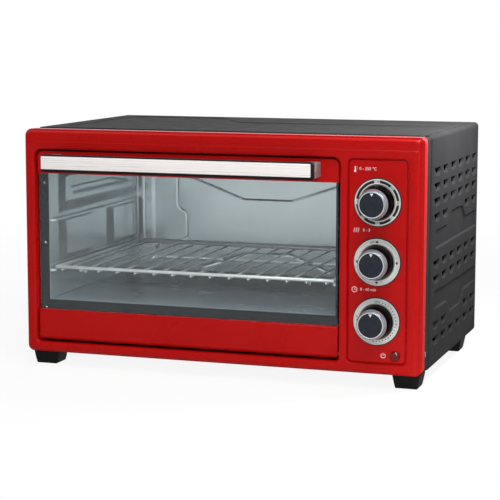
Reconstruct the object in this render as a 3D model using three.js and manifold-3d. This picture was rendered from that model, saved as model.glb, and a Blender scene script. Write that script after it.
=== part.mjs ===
// Table-top electric oven with a drop-down glass door and three rotary controls.
// Millimetres, Z up. X = 0 is the cabinet's middle, Y = 0 the bezel's front face, the front looks to -Y.
import * as THREE from "three";
import { mergeVertices } from "three/addons/utils/BufferGeometryUtils.js";
import Module from "manifold-3d";

const wasm = await Module();
wasm.setup();

// Cabinet
const bodyWidth = 480;
const bodyHeight = 265;
const bodyDepth = 310;
const sheet = 0.8;
const cavitySheet = 0.6;
const fitGap = 0.3;
const runningGap = 0.1;
const overrun = 2;

// Red front bezel
const bezelDepth = 20;
const bezelCorner = 7;
const bevelWidth = 6;
const bevelDepth = 3.2;
const bezelFace = 4;
const bezelWall = 2.5;
const doorSideBorder = 16.5;
const doorBottomBorder = 15;
const doorTopBorder = 25.5;
const controlWidth = 96.2;
const doorClearance = 2;
const sillGap = 2.5;
const sillCorner = 5.5;
const collarWall = 1.5;
const collarDepth = 17;

// Door
const doorRecess = 4;
const doorThickness = 10;
const doorCorner = 7;
const doorFootCorner = 3;
const topRailHeight = 26.4;
const bottomRailHeight = 36;
const glassThickness = 4;
const glassSetback = 2.5;
const glassGroove = 8;
const glassSideInset = 1;
const railWall = 1.5;
const railLip = 3;
const railEnd = 16;

// Handle
const handleReach = 29;
const handleLeftInset = 19;
const handleRightInset = 20.8;
const handleHeight = 20;
const handleTopDrop = 1.9;
const handleThickness = 8.5;
const plateThickness = 1.2;
const plateEndInset = 2.5;
const plateTopEdge = 1.8;
const plateFootEdge = 3.4;
const postWidth = 13;
const postInset = 1.5;

// Hinges and stays of the door
const pinRadius = 2;
const pinSeat = 12;
const pinHeadRadius = 3.4;
const pinHeadThickness = 1.2;
const pinHoleSlack = 0.5;
const earStandoff = 2.2;
const earThickness = 1.5;
const earReach = 15.2;
const earHeight = 18;
const stayInset = 1.5;
const stayThickness = 1.5;
const stayRadius = 27;
const stayWidth = 6;
const staySweep = THREE.MathUtils.degToRad(114);
const staySlotSlack = 0.8;

// Outer shell
const shellCorner = 5;
const bandInset = 1.2;
const bandDepth = 21;
const returnWidth = 12;
const louvreLength = 28;
const louvreHeight = 9;
const louvreSink = 3;
const louvreSlit = 2.5;
const louvreStart = 76;
const louvreEnd = 22;
const louvreRowShare = 0.066;
const upperLouvreShare = 0.647;
const middleLouvreShare = 0.381;
const lowerLouvreShare = 0.116;
const louvreColumns = 6;
const brokenColumns = [2, 3];

// Cavity, measured from the door's edges and the body's underside
const cavityLeftInset = 7;
const cavityRightInset = 7;
const floorHeight = 62;
const roofDrop = 33;
const rearGap = 20;
const ribWidth = 6;
const ribHeight = 2;
const ribEndGap = 3;
const rackShare = 0.218;
const rackStepShare = 0.353;
const fieldSink = 2.5;
const fieldCorner = 8;
const fieldFrontInset = 25;
const fieldRearInset = 4;
const fieldGap = 45;
const fieldRibGap = 5;
const upperFieldTopGap = 28;
const dishSink = 6;
const dishSideInset = 24;
const dishBottomInset = 12;
const dishTopInset = 18;
const frameLip = 4;

// Wire rack
const rackSideGap = 3.5;
const rackFrontGap = 6;
const rackRearGap = 3;
const rackRodRadius = 2.2;
const rackWireRadius = 1.25;
const rackWireCount = 15;
const rackWireInset = 7.5;
const rackWireTick = 3;
const rackBite = 0.4;
const stopDrop = 5;
const stopSpan = 7;
const stopInset = 12;

// Heating elements
const heaterRadius = 4;
const heaterEndRadius = 2;
const heaterEnd = 5;
const heaterStub = 12;
const heaterWallGap = 70;
const upperHeaterDrop = 14;
const lowerHeaterDrop = 24;

// Control fascia and its dials
const fasciaDoorGap = 12.2;
const fasciaSideBorder = 18;
const fasciaBottomBorder = 14;
const fasciaTopBorder = 25;
const fasciaCorner = 4;
const fasciaRecess = 1.7;
const fasciaLip = 3;
const fasciaBack = 2;
const dialPitchShare = 0.2934;
const dialRadius = 26;
const dialHole = 7;
const dialThickness = 1.2;
const dialRim = 1.6;
const dialRimStep = 0.6;

// Knobs
const knobGap = 0.8;
const skirtRadius = 19.8;
const skirtTopRadius = 17;
const skirtDepth = 18;
const skirtWall = 2;
const skirtRoof = 3;
const hubRadius = 6.5;
const capTopRadius = 15;
const capDepth = 7.2;
const faceRadius = 13.5;
const faceSink = 1.6;
const faceThickness = 1;
const pointerWidth = 4;
const pointerLength = 3.6;
const pointerMargin = 1;
const pointerRise = 0.25;
const shaftRadius = 3;
const shaftBite = 1.5;
const shaftFlat = 1;
const shaftHoleSlack = 1;

// Switchgear behind the fascia
const bracketThickness = 1.2;
const bracketDoorGap = 14.2;
const bracketEdgeInset = 6;
const bracketLap = 3;
const thermostatWidth = 32;
const thermostatHeight = 28;
const thermostatDepth = 26;
const switchWidth = 34;
const switchDepth = 22;
const timerWidth = 44;
const timerDepth = 40;
const shaftSeat = 8;
const bellRadius = 19;
const bellDepth = 12;
const bellWall = 1.2;
const bellStemRadius = 4;
const lampSideInset = 11.6;
const lampRise = 8.6;
const lampRadius = 5.8;
const lampDome = 3;
const domeShare = 0.8;
const lampStemRadius = 4;
const lampTail = 1.5;
const lampHolderRadius = 5;
const terminalWidth = 34;
const terminalDepth = 14;
const terminalHeight = 13;
const terminalRearGap = 22;
const terminalSideGap = 26;

// Feet
const footHeight = 16.5;
const footTopWidth = 31.6;
const footSoleWidth = 25.6;
const footSideInset = 19.7;
const footFrontInset = 28.6;
const footRearInset = 52;
const footStemRadius = 3;
const footBarbRadius = 4.5;
const footBarbHeight = 2.5;

// Rear panel, floor plate and cord gland
const rearInset = 1;
const rearFieldSink = 4;
const rearFieldSide = 40;
const rearFieldBottom = 75;
const rearFieldTop = 30;
const ventLength = 26;
const ventHeight = 4;
const rearVentColumns = 8;
const rearVentRows = 2;
const rearVentRowPitch = 12;
const bottomVentColumns = 7;
const bottomVentRows = 2;
const bottomVentRowPitch = 90;
const ventColumnPitch = 42;
const glandReach = 6;
const glandSideInset = 62;
const glandRise = 34;
const glandRadius = 7;
const glandFlangeRadius = 10;
const glandFlange = 2.5;
const glandNutRadius = 9;
const glandBore = 3.6;
const screwRadius = 3.4;
const screwHead = 0.8;
const screwShankRadius = 1.6;
const screwLength = 6;
const screwRise = 21.6;
const screwSetback = 5.6;

// How finely the curves are stepped
const cornerSteps = 4;
const fieldSteps = 2;
const roundSteps = 24;
const smallRoundSteps = 12;
const wireSteps = 6;

// Positions that follow from the sizes above: body and door
const floorZ = footHeight;
const topZ = floorZ + bodyHeight;
const sideX = bodyWidth / 2;
const doorLeft = -sideX + doorSideBorder;
const doorRight = sideX - controlWidth;
const doorBottom = floorZ + doorBottomBorder;
const doorTop = topZ - doorTopBorder;
const doorBack = doorRecess + doorThickness;
const hingeY = doorRecess + doorThickness / 2;
const hingeZ = doorBottom + doorThickness / 2;
const stayLeftX = doorLeft + stayInset;
const stayRightX = doorRight - stayInset - stayThickness;
const handleLeft = doorLeft + handleLeftInset;
const handleRight = doorRight - handleRightInset;
const handleTop = doorTop - handleTopDrop;
const handleBottom = handleTop - handleHeight;
const plateBack = -handleReach + plateThickness;
const barFront = plateBack + fitGap;
const barBack = barFront + handleThickness;

// Shell, frame and panels
const shellFront = bezelDepth + fitGap;
const louvrePitch = (bodyDepth - louvreStart - louvreEnd) / (louvreColumns - 1);
const plateInset = bandInset + sheet + fitGap;
const frameBack = shellFront + sheet;
const plateTop = floorZ + plateInset + sheet;
const rearPanelBack = bodyDepth - rearInset;
const rearPanelFront = rearPanelBack - sheet;
const glandX = sideX - glandSideInset;
const glandZ = floorZ + glandRise;
const feet = [
  ["foot_front_left", -sideX + footSideInset, footFrontInset],
  ["foot_front_right", sideX - footSideInset, footFrontInset],
  ["foot_rear_left", -sideX + footSideInset, bodyDepth - footRearInset],
  ["foot_rear_right", sideX - footSideInset, bodyDepth - footRearInset],
];

// Cavity, rack and heating elements
const cavityLeft = doorLeft + cavityLeftInset;
const cavityRight = doorRight - cavityRightInset;
const cavityFloor = floorZ + floorHeight;
const cavityRoof = topZ - roofDrop;
const cavityHeight = cavityRoof - cavityFloor;
const cavityFront = frameBack + fitGap;
const cavityRear = bodyDepth - rearGap;
const wallBottom = plateTop + fitGap;
const wallTop = cavityRoof - fitGap;
const wallRear = cavityRear - fitGap;
const rackZ = cavityFloor + rackShare * cavityHeight;
const rackStep = rackStepShare * cavityHeight;
const rackLeft = cavityLeft + rackSideGap + rackRodRadius;
const rackRight = cavityRight - rackSideGap - rackRodRadius;
const rackFront = cavityFront + rackFrontGap + rackRodRadius;
const rackRear = cavityRear - rackRearGap - rackRodRadius;
const heaterPlaces = [
  { name: "heater_upper_front", y: cavityFront + heaterWallGap, z: cavityRoof - upperHeaterDrop },
  { name: "heater_upper_rear", y: cavityRear - heaterWallGap, z: cavityRoof - upperHeaterDrop },
  { name: "heater_lower_front", y: cavityFront + heaterWallGap, z: cavityFloor - lowerHeaterDrop },
  { name: "heater_lower_rear", y: cavityRear - heaterWallGap, z: cavityFloor - lowerHeaterDrop },
];

// Fascia, dials, knobs and the bracket behind them
const fasciaLeft = doorRight + fasciaDoorGap;
const fasciaRight = sideX - fasciaSideBorder;
const fasciaBottom = floorZ + fasciaBottomBorder;
const fasciaTop = topZ - fasciaTopBorder;
const fasciaBackY = bezelFace + fitGap + fasciaBack;
const dialX = (fasciaLeft + fasciaRight) / 2;
const dialMiddleZ = (fasciaBottom + fasciaTop) / 2;
const dialPitch = dialPitchShare * (fasciaTop - fasciaBottom);
const dialFront = fasciaRecess - fitGap - dialThickness;
const knobBack = dialFront - dialRimStep - knobGap;
const skirtFront = knobBack - skirtDepth;
const lampX = fasciaRight - lampSideInset;
const lampZ = fasciaBottom + lampRise;
const bracketLeft = doorRight + bracketDoorGap;
const bracketRight = sideX - bracketEdgeInset;
const bracketBottom = floorZ + bracketEdgeInset + bracketThickness;
const bracketTop = topZ - bracketEdgeInset - bracketThickness;
const bracketBack = shellFront - fitGap;
const bracketFront = bracketBack - bracketThickness;
const gearFront = bracketBack + fitGap;
const controls = [
  { name: "temperature", z: dialMiddleZ + dialPitch },
  { name: "function", z: dialMiddleZ },
  { name: "timer", z: dialMiddleZ - dialPitch },
];

// Turns a three.js geometry into a solid that can be cut and joined, with its faces pointing outwards.
function solid(geometry) {
  const bare = geometry.clone();
  bare.deleteAttribute("normal");
  bare.deleteAttribute("uv");
  const welded = mergeVertices(bare);
  const mesh = new wasm.Mesh({
    numProp: 3,
    vertProperties: welded.attributes.position.array,
    triVerts: new Uint32Array(welded.index.array),
  });
  const made = new wasm.Manifold(mesh);
  if (made.volume() > 0) return made;
  const triVerts = mesh.triVerts.map((corner, index, all) => {
    const place = index % 3;
    return all[index - place + ((3 - place) % 3)];
  });
  return new wasm.Manifold(new wasm.Mesh({ numProp: 3, vertProperties: mesh.vertProperties, triVerts }));
}

function block(x0, x1, y0, y1, z0, z1) {
  const box = new THREE.BoxGeometry(x1 - x0, y1 - y0, z1 - z0);
  box.translate((x0 + x1) / 2, (y0 + y1) / 2, (z0 + z1) / 2);
  return solid(box);
}

function joinAll(solids) {
  return solids.reduce((whole, piece) => whole.add(piece));
}

function cutAll(whole, cutters) {
  return cutters.reduce((left, cutter) => left.subtract(cutter), whole);
}

function roundedRect(u0, u1, v0, v1, radius, lower = radius) {
  const shape = new THREE.Shape();
  shape.absarc(u1 - lower, v0 + lower, lower, -Math.PI / 2, 0);
  shape.absarc(u1 - radius, v1 - radius, radius, 0, Math.PI / 2);
  shape.absarc(u0 + radius, v1 - radius, radius, Math.PI / 2, Math.PI);
  shape.absarc(u0 + lower, v0 + lower, lower, Math.PI, Math.PI * 1.5);
  shape.closePath();
  return shape;
}

function outline(points) {
  return new THREE.Shape(points.map(([u, v]) => new THREE.Vector2(u, v)));
}

function extruded(shape, length, steps) {
  return new THREE.ExtrudeGeometry(shape, { depth: length, bevelEnabled: false, curveSegments: steps });
}

// Outline in X and Z, thick along Y.
function slabXZ(shape, y0, y1, steps = cornerSteps) {
  const geometry = extruded(shape, y1 - y0, steps);
  geometry.rotateX(Math.PI / 2);
  geometry.translate(0, y1, 0);
  return solid(geometry);
}

// Outline in Y and Z, thick along X.
function slabYZ(shape, x0, x1, steps = cornerSteps) {
  const geometry = extruded(shape, x1 - x0, steps);
  const turn = new THREE.Matrix4().makeBasis(
    new THREE.Vector3(0, 1, 0),
    new THREE.Vector3(0, 0, 1),
    new THREE.Vector3(1, 0, 0),
  );
  geometry.applyMatrix4(turn);
  geometry.translate(x0, 0, 0);
  return solid(geometry);
}

// A turned solid: the profile lists radius and place along the axis, from its rear end to its front one.
function turned(profile, steps) {
  return new THREE.LatheGeometry(profile.map(([radius, along]) => new THREE.Vector2(radius, along)), steps);
}

function turnedY(profile, x, z, steps = roundSteps) {
  const geometry = turned(profile, steps);
  geometry.translate(x, 0, z);
  return solid(geometry);
}

function turnedZ(profile, x, y, steps = roundSteps) {
  const geometry = turned(profile, steps);
  geometry.rotateX(Math.PI / 2);
  geometry.translate(x, y, 0);
  return solid(geometry);
}

function turnedX(profile, y, z, steps = smallRoundSteps) {
  const geometry = turned(profile, steps);
  geometry.rotateZ(-Math.PI / 2);
  geometry.translate(0, y, z);
  return solid(geometry);
}

function drum(radius, a0, a1) {
  return [[0, a0], [radius, a0], [radius, a1], [0, a1]];
}

// Straight rods along the given points, joined into one wire.
function wire(points, radius) {
  const rods = points.slice(1).map((end, index) => {
    const from = new THREE.Vector3(...points[index]);
    const to = new THREE.Vector3(...end);
    const along = to.clone().sub(from);
    const middle = from.clone().add(to).multiplyScalar(1 / 2);
    const rod = new THREE.CylinderGeometry(radius, radius, along.length(), wireSteps);
    const turn = new THREE.Quaternion().setFromUnitVectors(new THREE.Vector3(0, 1, 0), along.normalize());
    rod.applyQuaternion(turn);
    rod.translate(middle.x, middle.y, middle.z);
    return solid(rod);
  });
  return joinAll(rods);
}

// A solid whose rounded-rectangle section changes along Y: each section is [inset, y].
function tapered(x0, x1, z0, z1, radius, sections) {
  const rings = sections.map(([inset]) => {
    const shape = roundedRect(x0 + inset, x1 - inset, z0 + inset, z1 - inset, radius - inset);
    return shape.extractPoints(cornerSteps).shape.slice(0, -1);
  });
  const count = rings[0].length;
  const positions = rings.flatMap((ring, level) => {
    const y = sections[level][1];
    return ring.flatMap((point) => [point.x, y, point.y]);
  });
  const faces = [];
  rings.slice(1).forEach((ring, level) => {
    for (let step = 0; step < count; step++) {
      const here = level * count + step;
      const next = level * count + ((step + 1) % count);
      faces.push(here, next + count, next, here, here + count, next + count);
    }
  });
  const last = (rings.length - 1) * count;
  for (let step = 1; step < count - 1; step++) {
    faces.push(0, step, step + 1);
    faces.push(last, last + step + 1, last + step);
  }
  const geometry = new THREE.BufferGeometry();
  geometry.setAttribute("position", new THREE.BufferAttribute(new Float32Array(positions), 3));
  geometry.setIndex(faces);
  return solid(geometry);
}

const oven = new THREE.Group();
oven.name = "electric_oven";
const assembly = new THREE.Group();
assembly.position.y = (handleReach - bodyDepth - glandReach) / 2;
oven.add(assembly);

function place(name, body, colour, roughness, metalness, opacity = 1) {
  const made = body.getMesh();
  const geometry = new THREE.BufferGeometry();
  geometry.setAttribute("position", new THREE.BufferAttribute(made.vertProperties, 3));
  geometry.setIndex(new THREE.BufferAttribute(made.triVerts, 1));
  geometry.computeVertexNormals();
  const material = new THREE.MeshStandardMaterial({ color: colour, roughness, metalness });
  material.opacity = opacity;
  material.transparent = opacity < 1;
  const mesh = new THREE.Mesh(geometry, material);
  mesh.name = name;
  assembly.add(mesh);
}

const red = 0xb02020;
const darkSteel = 0x303234;
const innerSteel = 0xa8b0b4;
const zincSteel = 0x9aa0a4;
const blackPlastic = 0x141416;
const ceramic = 0xd8d2c0;

// Bent sheet with inward returns at its foot, drawn at a distance inside the body's outline.
function shellOutline(inset) {
  const outer = sideX - inset;
  const inner = outer - sheet;
  const radius = shellCorner - inset;
  const shape = new THREE.Shape();
  shape.moveTo(-outer + returnWidth, floorZ + inset);
  shape.lineTo(-outer + returnWidth, floorZ + inset + sheet);
  shape.lineTo(-inner, floorZ + inset + sheet);
  shape.absarc(-outer + radius, topZ - inset - radius, radius - sheet, Math.PI, Math.PI / 2, true);
  shape.absarc(outer - radius, topZ - inset - radius, radius - sheet, Math.PI / 2, 0, true);
  shape.lineTo(inner, floorZ + inset + sheet);
  shape.lineTo(outer - returnWidth, floorZ + inset + sheet);
  shape.lineTo(outer - returnWidth, floorZ + inset);
  shape.lineTo(outer, floorZ + inset);
  shape.absarc(outer - radius, topZ - inset - radius, radius, 0, Math.PI / 2);
  shape.absarc(-outer + radius, topZ - inset - radius, radius, Math.PI / 2, Math.PI);
  shape.lineTo(-outer, floorZ + inset);
  shape.closePath();
  return shape;
}

function louvrePlaces() {
  const groups = [
    { lowest: upperLouvreShare, rows: 4, brokenRow: 0 },
    { lowest: middleLouvreShare, rows: 2, brokenRow: -1 },
    { lowest: lowerLouvreShare, rows: 2, brokenRow: 1 },
  ];
  const places = [];
  for (const { lowest, rows, brokenRow } of groups) {
    for (let row = 0; row < rows; row++) {
      for (let column = 0; column < louvreColumns; column++) {
        if (row === brokenRow && brokenColumns.includes(column)) continue;
        const rise = (lowest + row * louvreRowShare) * bodyHeight;
        places.push([louvreStart + column * louvrePitch, floorZ + rise]);
      }
    }
  }
  return places;
}

function louvreCut(side, y, z) {
  const depth = sheet + overrun;
  const x = side * (sideX - sheet / 2);
  const halfLength = louvreLength / 2;
  const halfHeight = louvreHeight / 2;
  return block(x - depth, x + depth, y - halfLength, y + halfLength, z - halfHeight, z + halfHeight);
}

function louvreFlap(side, y, z) {
  const low = z - louvreHeight / 2 - sheet;
  const high = z + louvreHeight / 2 - louvreSlit;
  const corners = [
    [side * sideX, low],
    [side * (sideX - sheet), low],
    [side * (sideX - sheet - louvreSink), high],
    [side * (sideX - louvreSink), high],
  ];
  return slabXZ(outline(corners), y - louvreLength / 2, y + louvreLength / 2);
}

function screwHoles() {
  const length = sideX + overrun;
  const profile = drum(screwShankRadius + fitGap, -length, length);
  return turnedX(profile, shellFront + screwSetback, floorZ + screwRise, smallRoundSteps);
}

function makeOuterShell() {
  const bandBack = shellFront + bandDepth;
  const band = slabXZ(shellOutline(bandInset), shellFront, bandBack);
  const main = slabXZ(shellOutline(0), bandBack - sheet, bodyDepth);
  const wide = slabXZ(roundedRect(-sideX, sideX, floorZ, topZ, shellCorner), bandBack - sheet, bandBack);
  const within = sideX - bandInset - sheet;
  const hollowTop = topZ - bandInset - sheet;
  const hollowRadius = shellCorner - bandInset - sheet;
  const hollow = slabXZ(
    roundedRect(-within, within, floorZ - shellCorner, hollowTop, hollowRadius),
    bandBack - sheet - overrun,
    bandBack + overrun,
  );
  let shell = band.add(main).add(wide.subtract(hollow));
  for (const side of [-1, 1]) {
    for (const [y, z] of louvrePlaces()) {
      shell = shell.subtract(louvreCut(side, y, z)).add(louvreFlap(side, y, z));
    }
  }
  return shell.subtract(screwHoles());
}

function makeBezel() {
  const body = tapered(-sideX, sideX, floorZ, topZ, bezelCorner, [
    [bevelWidth, 0],
    [0, bevelDepth],
    [0, bezelDepth],
  ]);
  const within = sideX - bezelWall;
  const hollow = slabXZ(
    roundedRect(-within, within, floorZ + bezelWall, topZ - bezelWall, bezelCorner - bezelWall),
    bezelFace,
    bezelDepth + overrun,
  );
  const doorway = (grow, y0, y1) =>
    slabXZ(
      roundedRect(
        doorLeft - doorClearance - grow,
        doorRight + doorClearance + grow,
        doorBottom - sillGap - grow,
        doorTop + doorClearance + grow,
        doorCorner + doorClearance + grow,
        sillCorner + grow,
      ),
      y0,
      y1,
    );
  const collar = doorway(collarWall, bezelFace - bezelWall, collarDepth);
  const framed = body.subtract(hollow).add(collar);
  return cutAll(framed, [
    doorway(0, -overrun, bezelDepth + overrun),
    slabXZ(fasciaOutline(fitGap), -overrun, bezelFace + overrun),
    pinCutter(pinRadius + pinHoleSlack),
  ]);
}

function fasciaOutline(grow) {
  return roundedRect(
    fasciaLeft - grow,
    fasciaRight + grow,
    fasciaBottom - grow,
    fasciaTop + grow,
    fasciaCorner + grow,
  );
}

// One long cutter on the hinge line serves the holes at both ends of the door.
function pinCutter(radius) {
  const span = sideX - bezelWall - overrun;
  const long = turnedX(drum(radius, -span, fasciaRight), hingeY, hingeZ, smallRoundSteps);
  const middle = block(
    doorLeft + pinSeat,
    doorRight - pinSeat,
    hingeY - doorThickness,
    hingeY + doorThickness,
    hingeZ - doorThickness,
    hingeZ + doorThickness,
  );
  return long.subtract(middle);
}

function shaftCutters(radius) {
  const profile = drum(radius, -overrun, shellFront + overrun);
  return controls.map(({ z }) => turnedY(profile, dialX, z, smallRoundSteps));
}

function makeFascia() {
  const pad = slabXZ(fasciaOutline(0), fasciaRecess, fasciaBackY);
  const flange = slabXZ(fasciaOutline(fasciaLip), bezelFace + fitGap, fasciaBackY);
  const lampHole = turnedY(drum(lampStemRadius + fitGap, -overrun, fasciaBackY + overrun), lampX, lampZ);
  return cutAll(pad.add(flange), [...shaftCutters(shaftRadius + shaftHoleSlack), lampHole]);
}

// Plate behind the bezel with the oven's mouth, the control opening and the slots of the door stays.
function makeFrontFrame() {
  const radius = shellCorner - plateInset;
  const plate = slabXZ(
    roundedRect(-sideX + plateInset, sideX - plateInset, floorZ + plateInset, topZ - plateInset, radius),
    shellFront,
    frameBack,
  );
  const mouth = block(
    cavityLeft,
    cavityRight,
    shellFront - overrun,
    frameBack + overrun,
    cavityFloor - cavitySheet - fitGap,
    cavityRoof,
  );
  const window = block(
    bracketLeft + bracketLap,
    bracketRight - bracketLap,
    shellFront - overrun,
    frameBack + overrun,
    bracketBottom + bracketLap,
    bracketTop - bracketLap,
  );
  const slots = [stayLeftX, stayRightX].map((x) =>
    block(
      x - staySlotSlack,
      x + stayThickness + staySlotSlack,
      shellFront - overrun,
      frameBack + overrun,
      hingeZ + stayRadius - stayWidth - staySlotSlack,
      hingeZ + stayRadius + stayWidth / 2 + staySlotSlack,
    ),
  );
  return cutAll(plate, [mouth, window, ...slots]);
}

function makeBracket() {
  const plate = block(bracketLeft, bracketRight, bracketFront, bracketBack, bracketBottom, bracketTop);
  return cutAll(plate, shaftCutters(shaftRadius + shaftHoleSlack));
}

function makeStay(x) {
  const outer = stayRadius + stayWidth / 2;
  const inner = stayRadius - stayWidth / 2;
  const start = Math.PI / 2;
  const sector = new THREE.Shape();
  sector.absarc(hingeY, hingeZ, outer, start - staySweep, start);
  sector.absarc(hingeY, hingeZ, inner, start, start - staySweep, true);
  sector.closePath();
  const arc = slabYZ(sector, x, x + stayThickness);
  const door = block(
    x - overrun,
    x + stayThickness + overrun,
    hingeY - outer,
    doorBack + fitGap,
    hingeZ,
    hingeZ + outer + overrun,
  );
  return arc.subtract(door);
}

function makePin(side, edge) {
  const inner = edge - side * (pinSeat - runningGap);
  const head = edge + side * (doorClearance + collarWall + earStandoff + earThickness + fitGap);
  const tip = head + side * pinHeadThickness;
  const profile = [
    [0, inner],
    [pinRadius, inner],
    [pinRadius, head],
    [pinHeadRadius, head],
    [pinHeadRadius, tip],
    [0, tip],
  ];
  return turnedX(profile, hingeY, hingeZ, smallRoundSteps);
}

// Bent ear on the front frame that carries one hinge pin.
function makeHingeBracket(side, edge) {
  const inner = edge + side * (doorClearance + collarWall + earStandoff);
  const outer = inner + side * earThickness;
  const foot = edge + side * (doorClearance + collarWall + fitGap);
  const back = shellFront - fitGap;
  const low = hingeZ - earHeight / 2;
  const high = hingeZ + earHeight / 2;
  const ear = block(Math.min(inner, outer), Math.max(inner, outer), back - earReach, back, low, high);
  const base = block(Math.min(foot, outer), Math.max(foot, outer), back - earThickness, back, low, high);
  const hole = turnedX(drum(pinRadius + runningGap, -sideX, sideX), hingeY, hingeZ, smallRoundSteps);
  return ear.add(base).subtract(hole);
}

function doorSlab(y0, y1) {
  return slabXZ(roundedRect(doorLeft, doorRight, doorBottom, doorTop, doorCorner, doorFootCorner), y0, y1);
}

function glassRange(grow) {
  const front = doorRecess + glassSetback;
  return [front - grow, front + glassThickness + grow];
}

function makeTopRail() {
  const low = doorTop - topRailHeight;
  const rail = doorSlab(doorRecess, doorBack).intersect(
    block(doorLeft, doorRight, doorRecess, doorBack, low, doorTop),
  );
  const groove = block(
    doorLeft - overrun,
    doorRight + overrun,
    ...glassRange(fitGap),
    low - overrun,
    low + glassGroove,
  );
  return cutAll(rail, [groove, railHollow(low + railLip, doorTop - railWall)]);
}

// The rails are hollow between their solid ends, and open into the groove of the glass.
function railHollow(low, high) {
  const front = doorRecess + railWall;
  const back = doorBack - railWall;
  return block(doorLeft + railEnd, doorRight - railEnd, front, back, low, high);
}

function makeBottomRail() {
  const high = doorBottom + bottomRailHeight;
  const section = new THREE.Shape();
  section.absarc(hingeY, hingeZ, doorThickness / 2, Math.PI, Math.PI * 2);
  section.lineTo(doorBack, high);
  section.lineTo(doorRecess, high);
  section.closePath();
  const rail = doorSlab(doorRecess, doorBack).intersect(slabYZ(section, doorLeft, doorRight));
  const groove = block(
    doorLeft - overrun,
    doorRight + overrun,
    ...glassRange(fitGap),
    high - glassGroove,
    high + overrun,
  );
  const hollow = railHollow(hingeZ, high - railLip);
  return cutAll(rail, [groove, hollow, pinCutter(pinRadius + runningGap)]);
}

function makeGlass() {
  return block(
    doorLeft + glassSideInset,
    doorRight - glassSideInset,
    ...glassRange(0),
    doorBottom + bottomRailHeight - glassGroove + fitGap,
    doorTop - topRailHeight + glassGroove - fitGap,
  );
}

function makeHandleBar() {
  return block(handleLeft, handleRight, barFront, barBack, handleBottom, handleTop);
}

function makeHandlePlate() {
  return block(
    handleLeft + plateEndInset,
    handleRight - plateEndInset,
    -handleReach,
    plateBack,
    handleBottom + plateFootEdge,
    handleTop - plateTopEdge,
  );
}

function makePost(x) {
  return block(
    x,
    x + postWidth,
    barBack + fitGap,
    doorRecess - fitGap,
    handleBottom + postInset,
    handleTop - postInset,
  );
}

// A sheet in the plane of U and V with pressed fields that bulge away from the cavity.
function pressed(slab, near, far, away, base, fields) {
  const bottom = (share) => (away > 0 ? [near, far + share] : [near - share, far]);
  let wall = base;
  for (const [u0, u1, v0, v1, sink] of fields) {
    const outer = slab(roundedRect(u0, u1, v0, v1, fieldCorner), ...bottom(sink), fieldSteps);
    const lowSide = away > 0 ? near - overrun : near - sink + (far - near);
    const highSide = away > 0 ? far + sink - (far - near) : far + overrun;
    const inset = far - near;
    const hollow = roundedRect(u0 + inset, u1 - inset, v0 + inset, v1 - inset, fieldCorner - inset);
    wall = wall.add(outer).subtract(slab(hollow, lowSide, highSide, fieldSteps));
  }
  return wall;
}

function makeSideWall(side) {
  const inner = side > 0 ? cavityRight : cavityLeft;
  const x0 = side > 0 ? inner : inner - cavitySheet;
  const x1 = x0 + cavitySheet;
  const shelfTop = rackZ - rackRodRadius - fitGap;
  const fieldLow = shelfTop + fieldRibGap;
  const fieldHigh = shelfTop + rackStep - ribHeight - fieldRibGap;
  const frontY = cavityFront + fieldFrontInset;
  const rearY = wallRear - fieldRearInset;
  const midY = (frontY + rearY) / 2;
  const upperLow = shelfTop + rackStep + fieldRibGap;
  const wall = pressed(slabYZ, x0, x1, side, block(x0, x1, cavityFront, wallRear, wallBottom, wallTop), [
    [frontY, midY - fieldGap / 2, fieldLow, fieldHigh, fieldSink],
    [midY + fieldGap / 2, rearY, fieldLow, fieldHigh, fieldSink],
    [frontY, rearY, upperLow, wallTop - upperFieldTopGap, fieldSink],
  ]);
  const ribs = [cavityFloor - cavitySheet - fitGap, shelfTop, shelfTop + rackStep].map((top) => {
    const tip = inner - side * ribWidth;
    return block(
      Math.min(tip, x0),
      Math.max(tip, x1),
      cavityFront + ribEndGap,
      wallRear - ribEndGap,
      top - ribHeight,
      top,
    );
  });
  const holes = heaterPlaces.map(({ y, z }) =>
    turnedX(drum(heaterRadius + fitGap, x0 - ribWidth, x1 + ribWidth), y, z),
  );
  const barb = drum(footBarbRadius + fitGap, floorZ, wallBottom + footBarbHeight + fitGap);
  const barbRoom = feet.map(([, x, y]) => turnedZ(barb, x, y, smallRoundSteps));
  return cutAll(joinAll([wall, ...ribs]), [...holes, ...barbRoom]);
}

function makeRearWall() {
  const x0 = cavityLeft - cavitySheet;
  const x1 = cavityRight + cavitySheet;
  const y1 = cavityRear + cavitySheet;
  const dishLow = cavityFloor + dishBottomInset;
  const dishHigh = cavityRoof - dishTopInset;
  return pressed(slabXZ, cavityRear, y1, 1, block(x0, x1, cavityRear, y1, wallBottom, wallTop), [
    [x0 + dishSideInset, x1 - dishSideInset, dishLow, dishHigh, dishSink],
  ]);
}

function makeRoof() {
  return block(
    cavityLeft - cavitySheet,
    cavityRight + cavitySheet,
    cavityFront,
    cavityRear + cavitySheet,
    cavityRoof,
    cavityRoof + cavitySheet,
  );
}

// Floor sheet with a turned-down lip behind the front frame.
function makeFloor() {
  const left = cavityLeft + fitGap;
  const right = cavityRight - fitGap;
  const under = cavityFloor - cavitySheet;
  const plate = block(left, right, cavityFront, wallRear, under, cavityFloor);
  const lip = block(
    left + ribWidth + fitGap,
    right - ribWidth - fitGap,
    cavityFront,
    cavityFront + cavitySheet,
    under - frameLip,
    cavityFloor,
  );
  return plate.add(lip);
}

function makeHeater(y, z) {
  const left = cavityLeft - heaterStub;
  const right = cavityRight + heaterStub;
  const profile = [
    [0, left],
    [heaterEndRadius, left],
    [heaterEndRadius, left + heaterEnd],
    [heaterRadius, left + heaterEnd],
    [heaterRadius, right - heaterEnd],
    [heaterEndRadius, right - heaterEnd],
    [heaterEndRadius, right],
    [0, right],
  ];
  return turnedX(profile, y, z);
}

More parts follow.
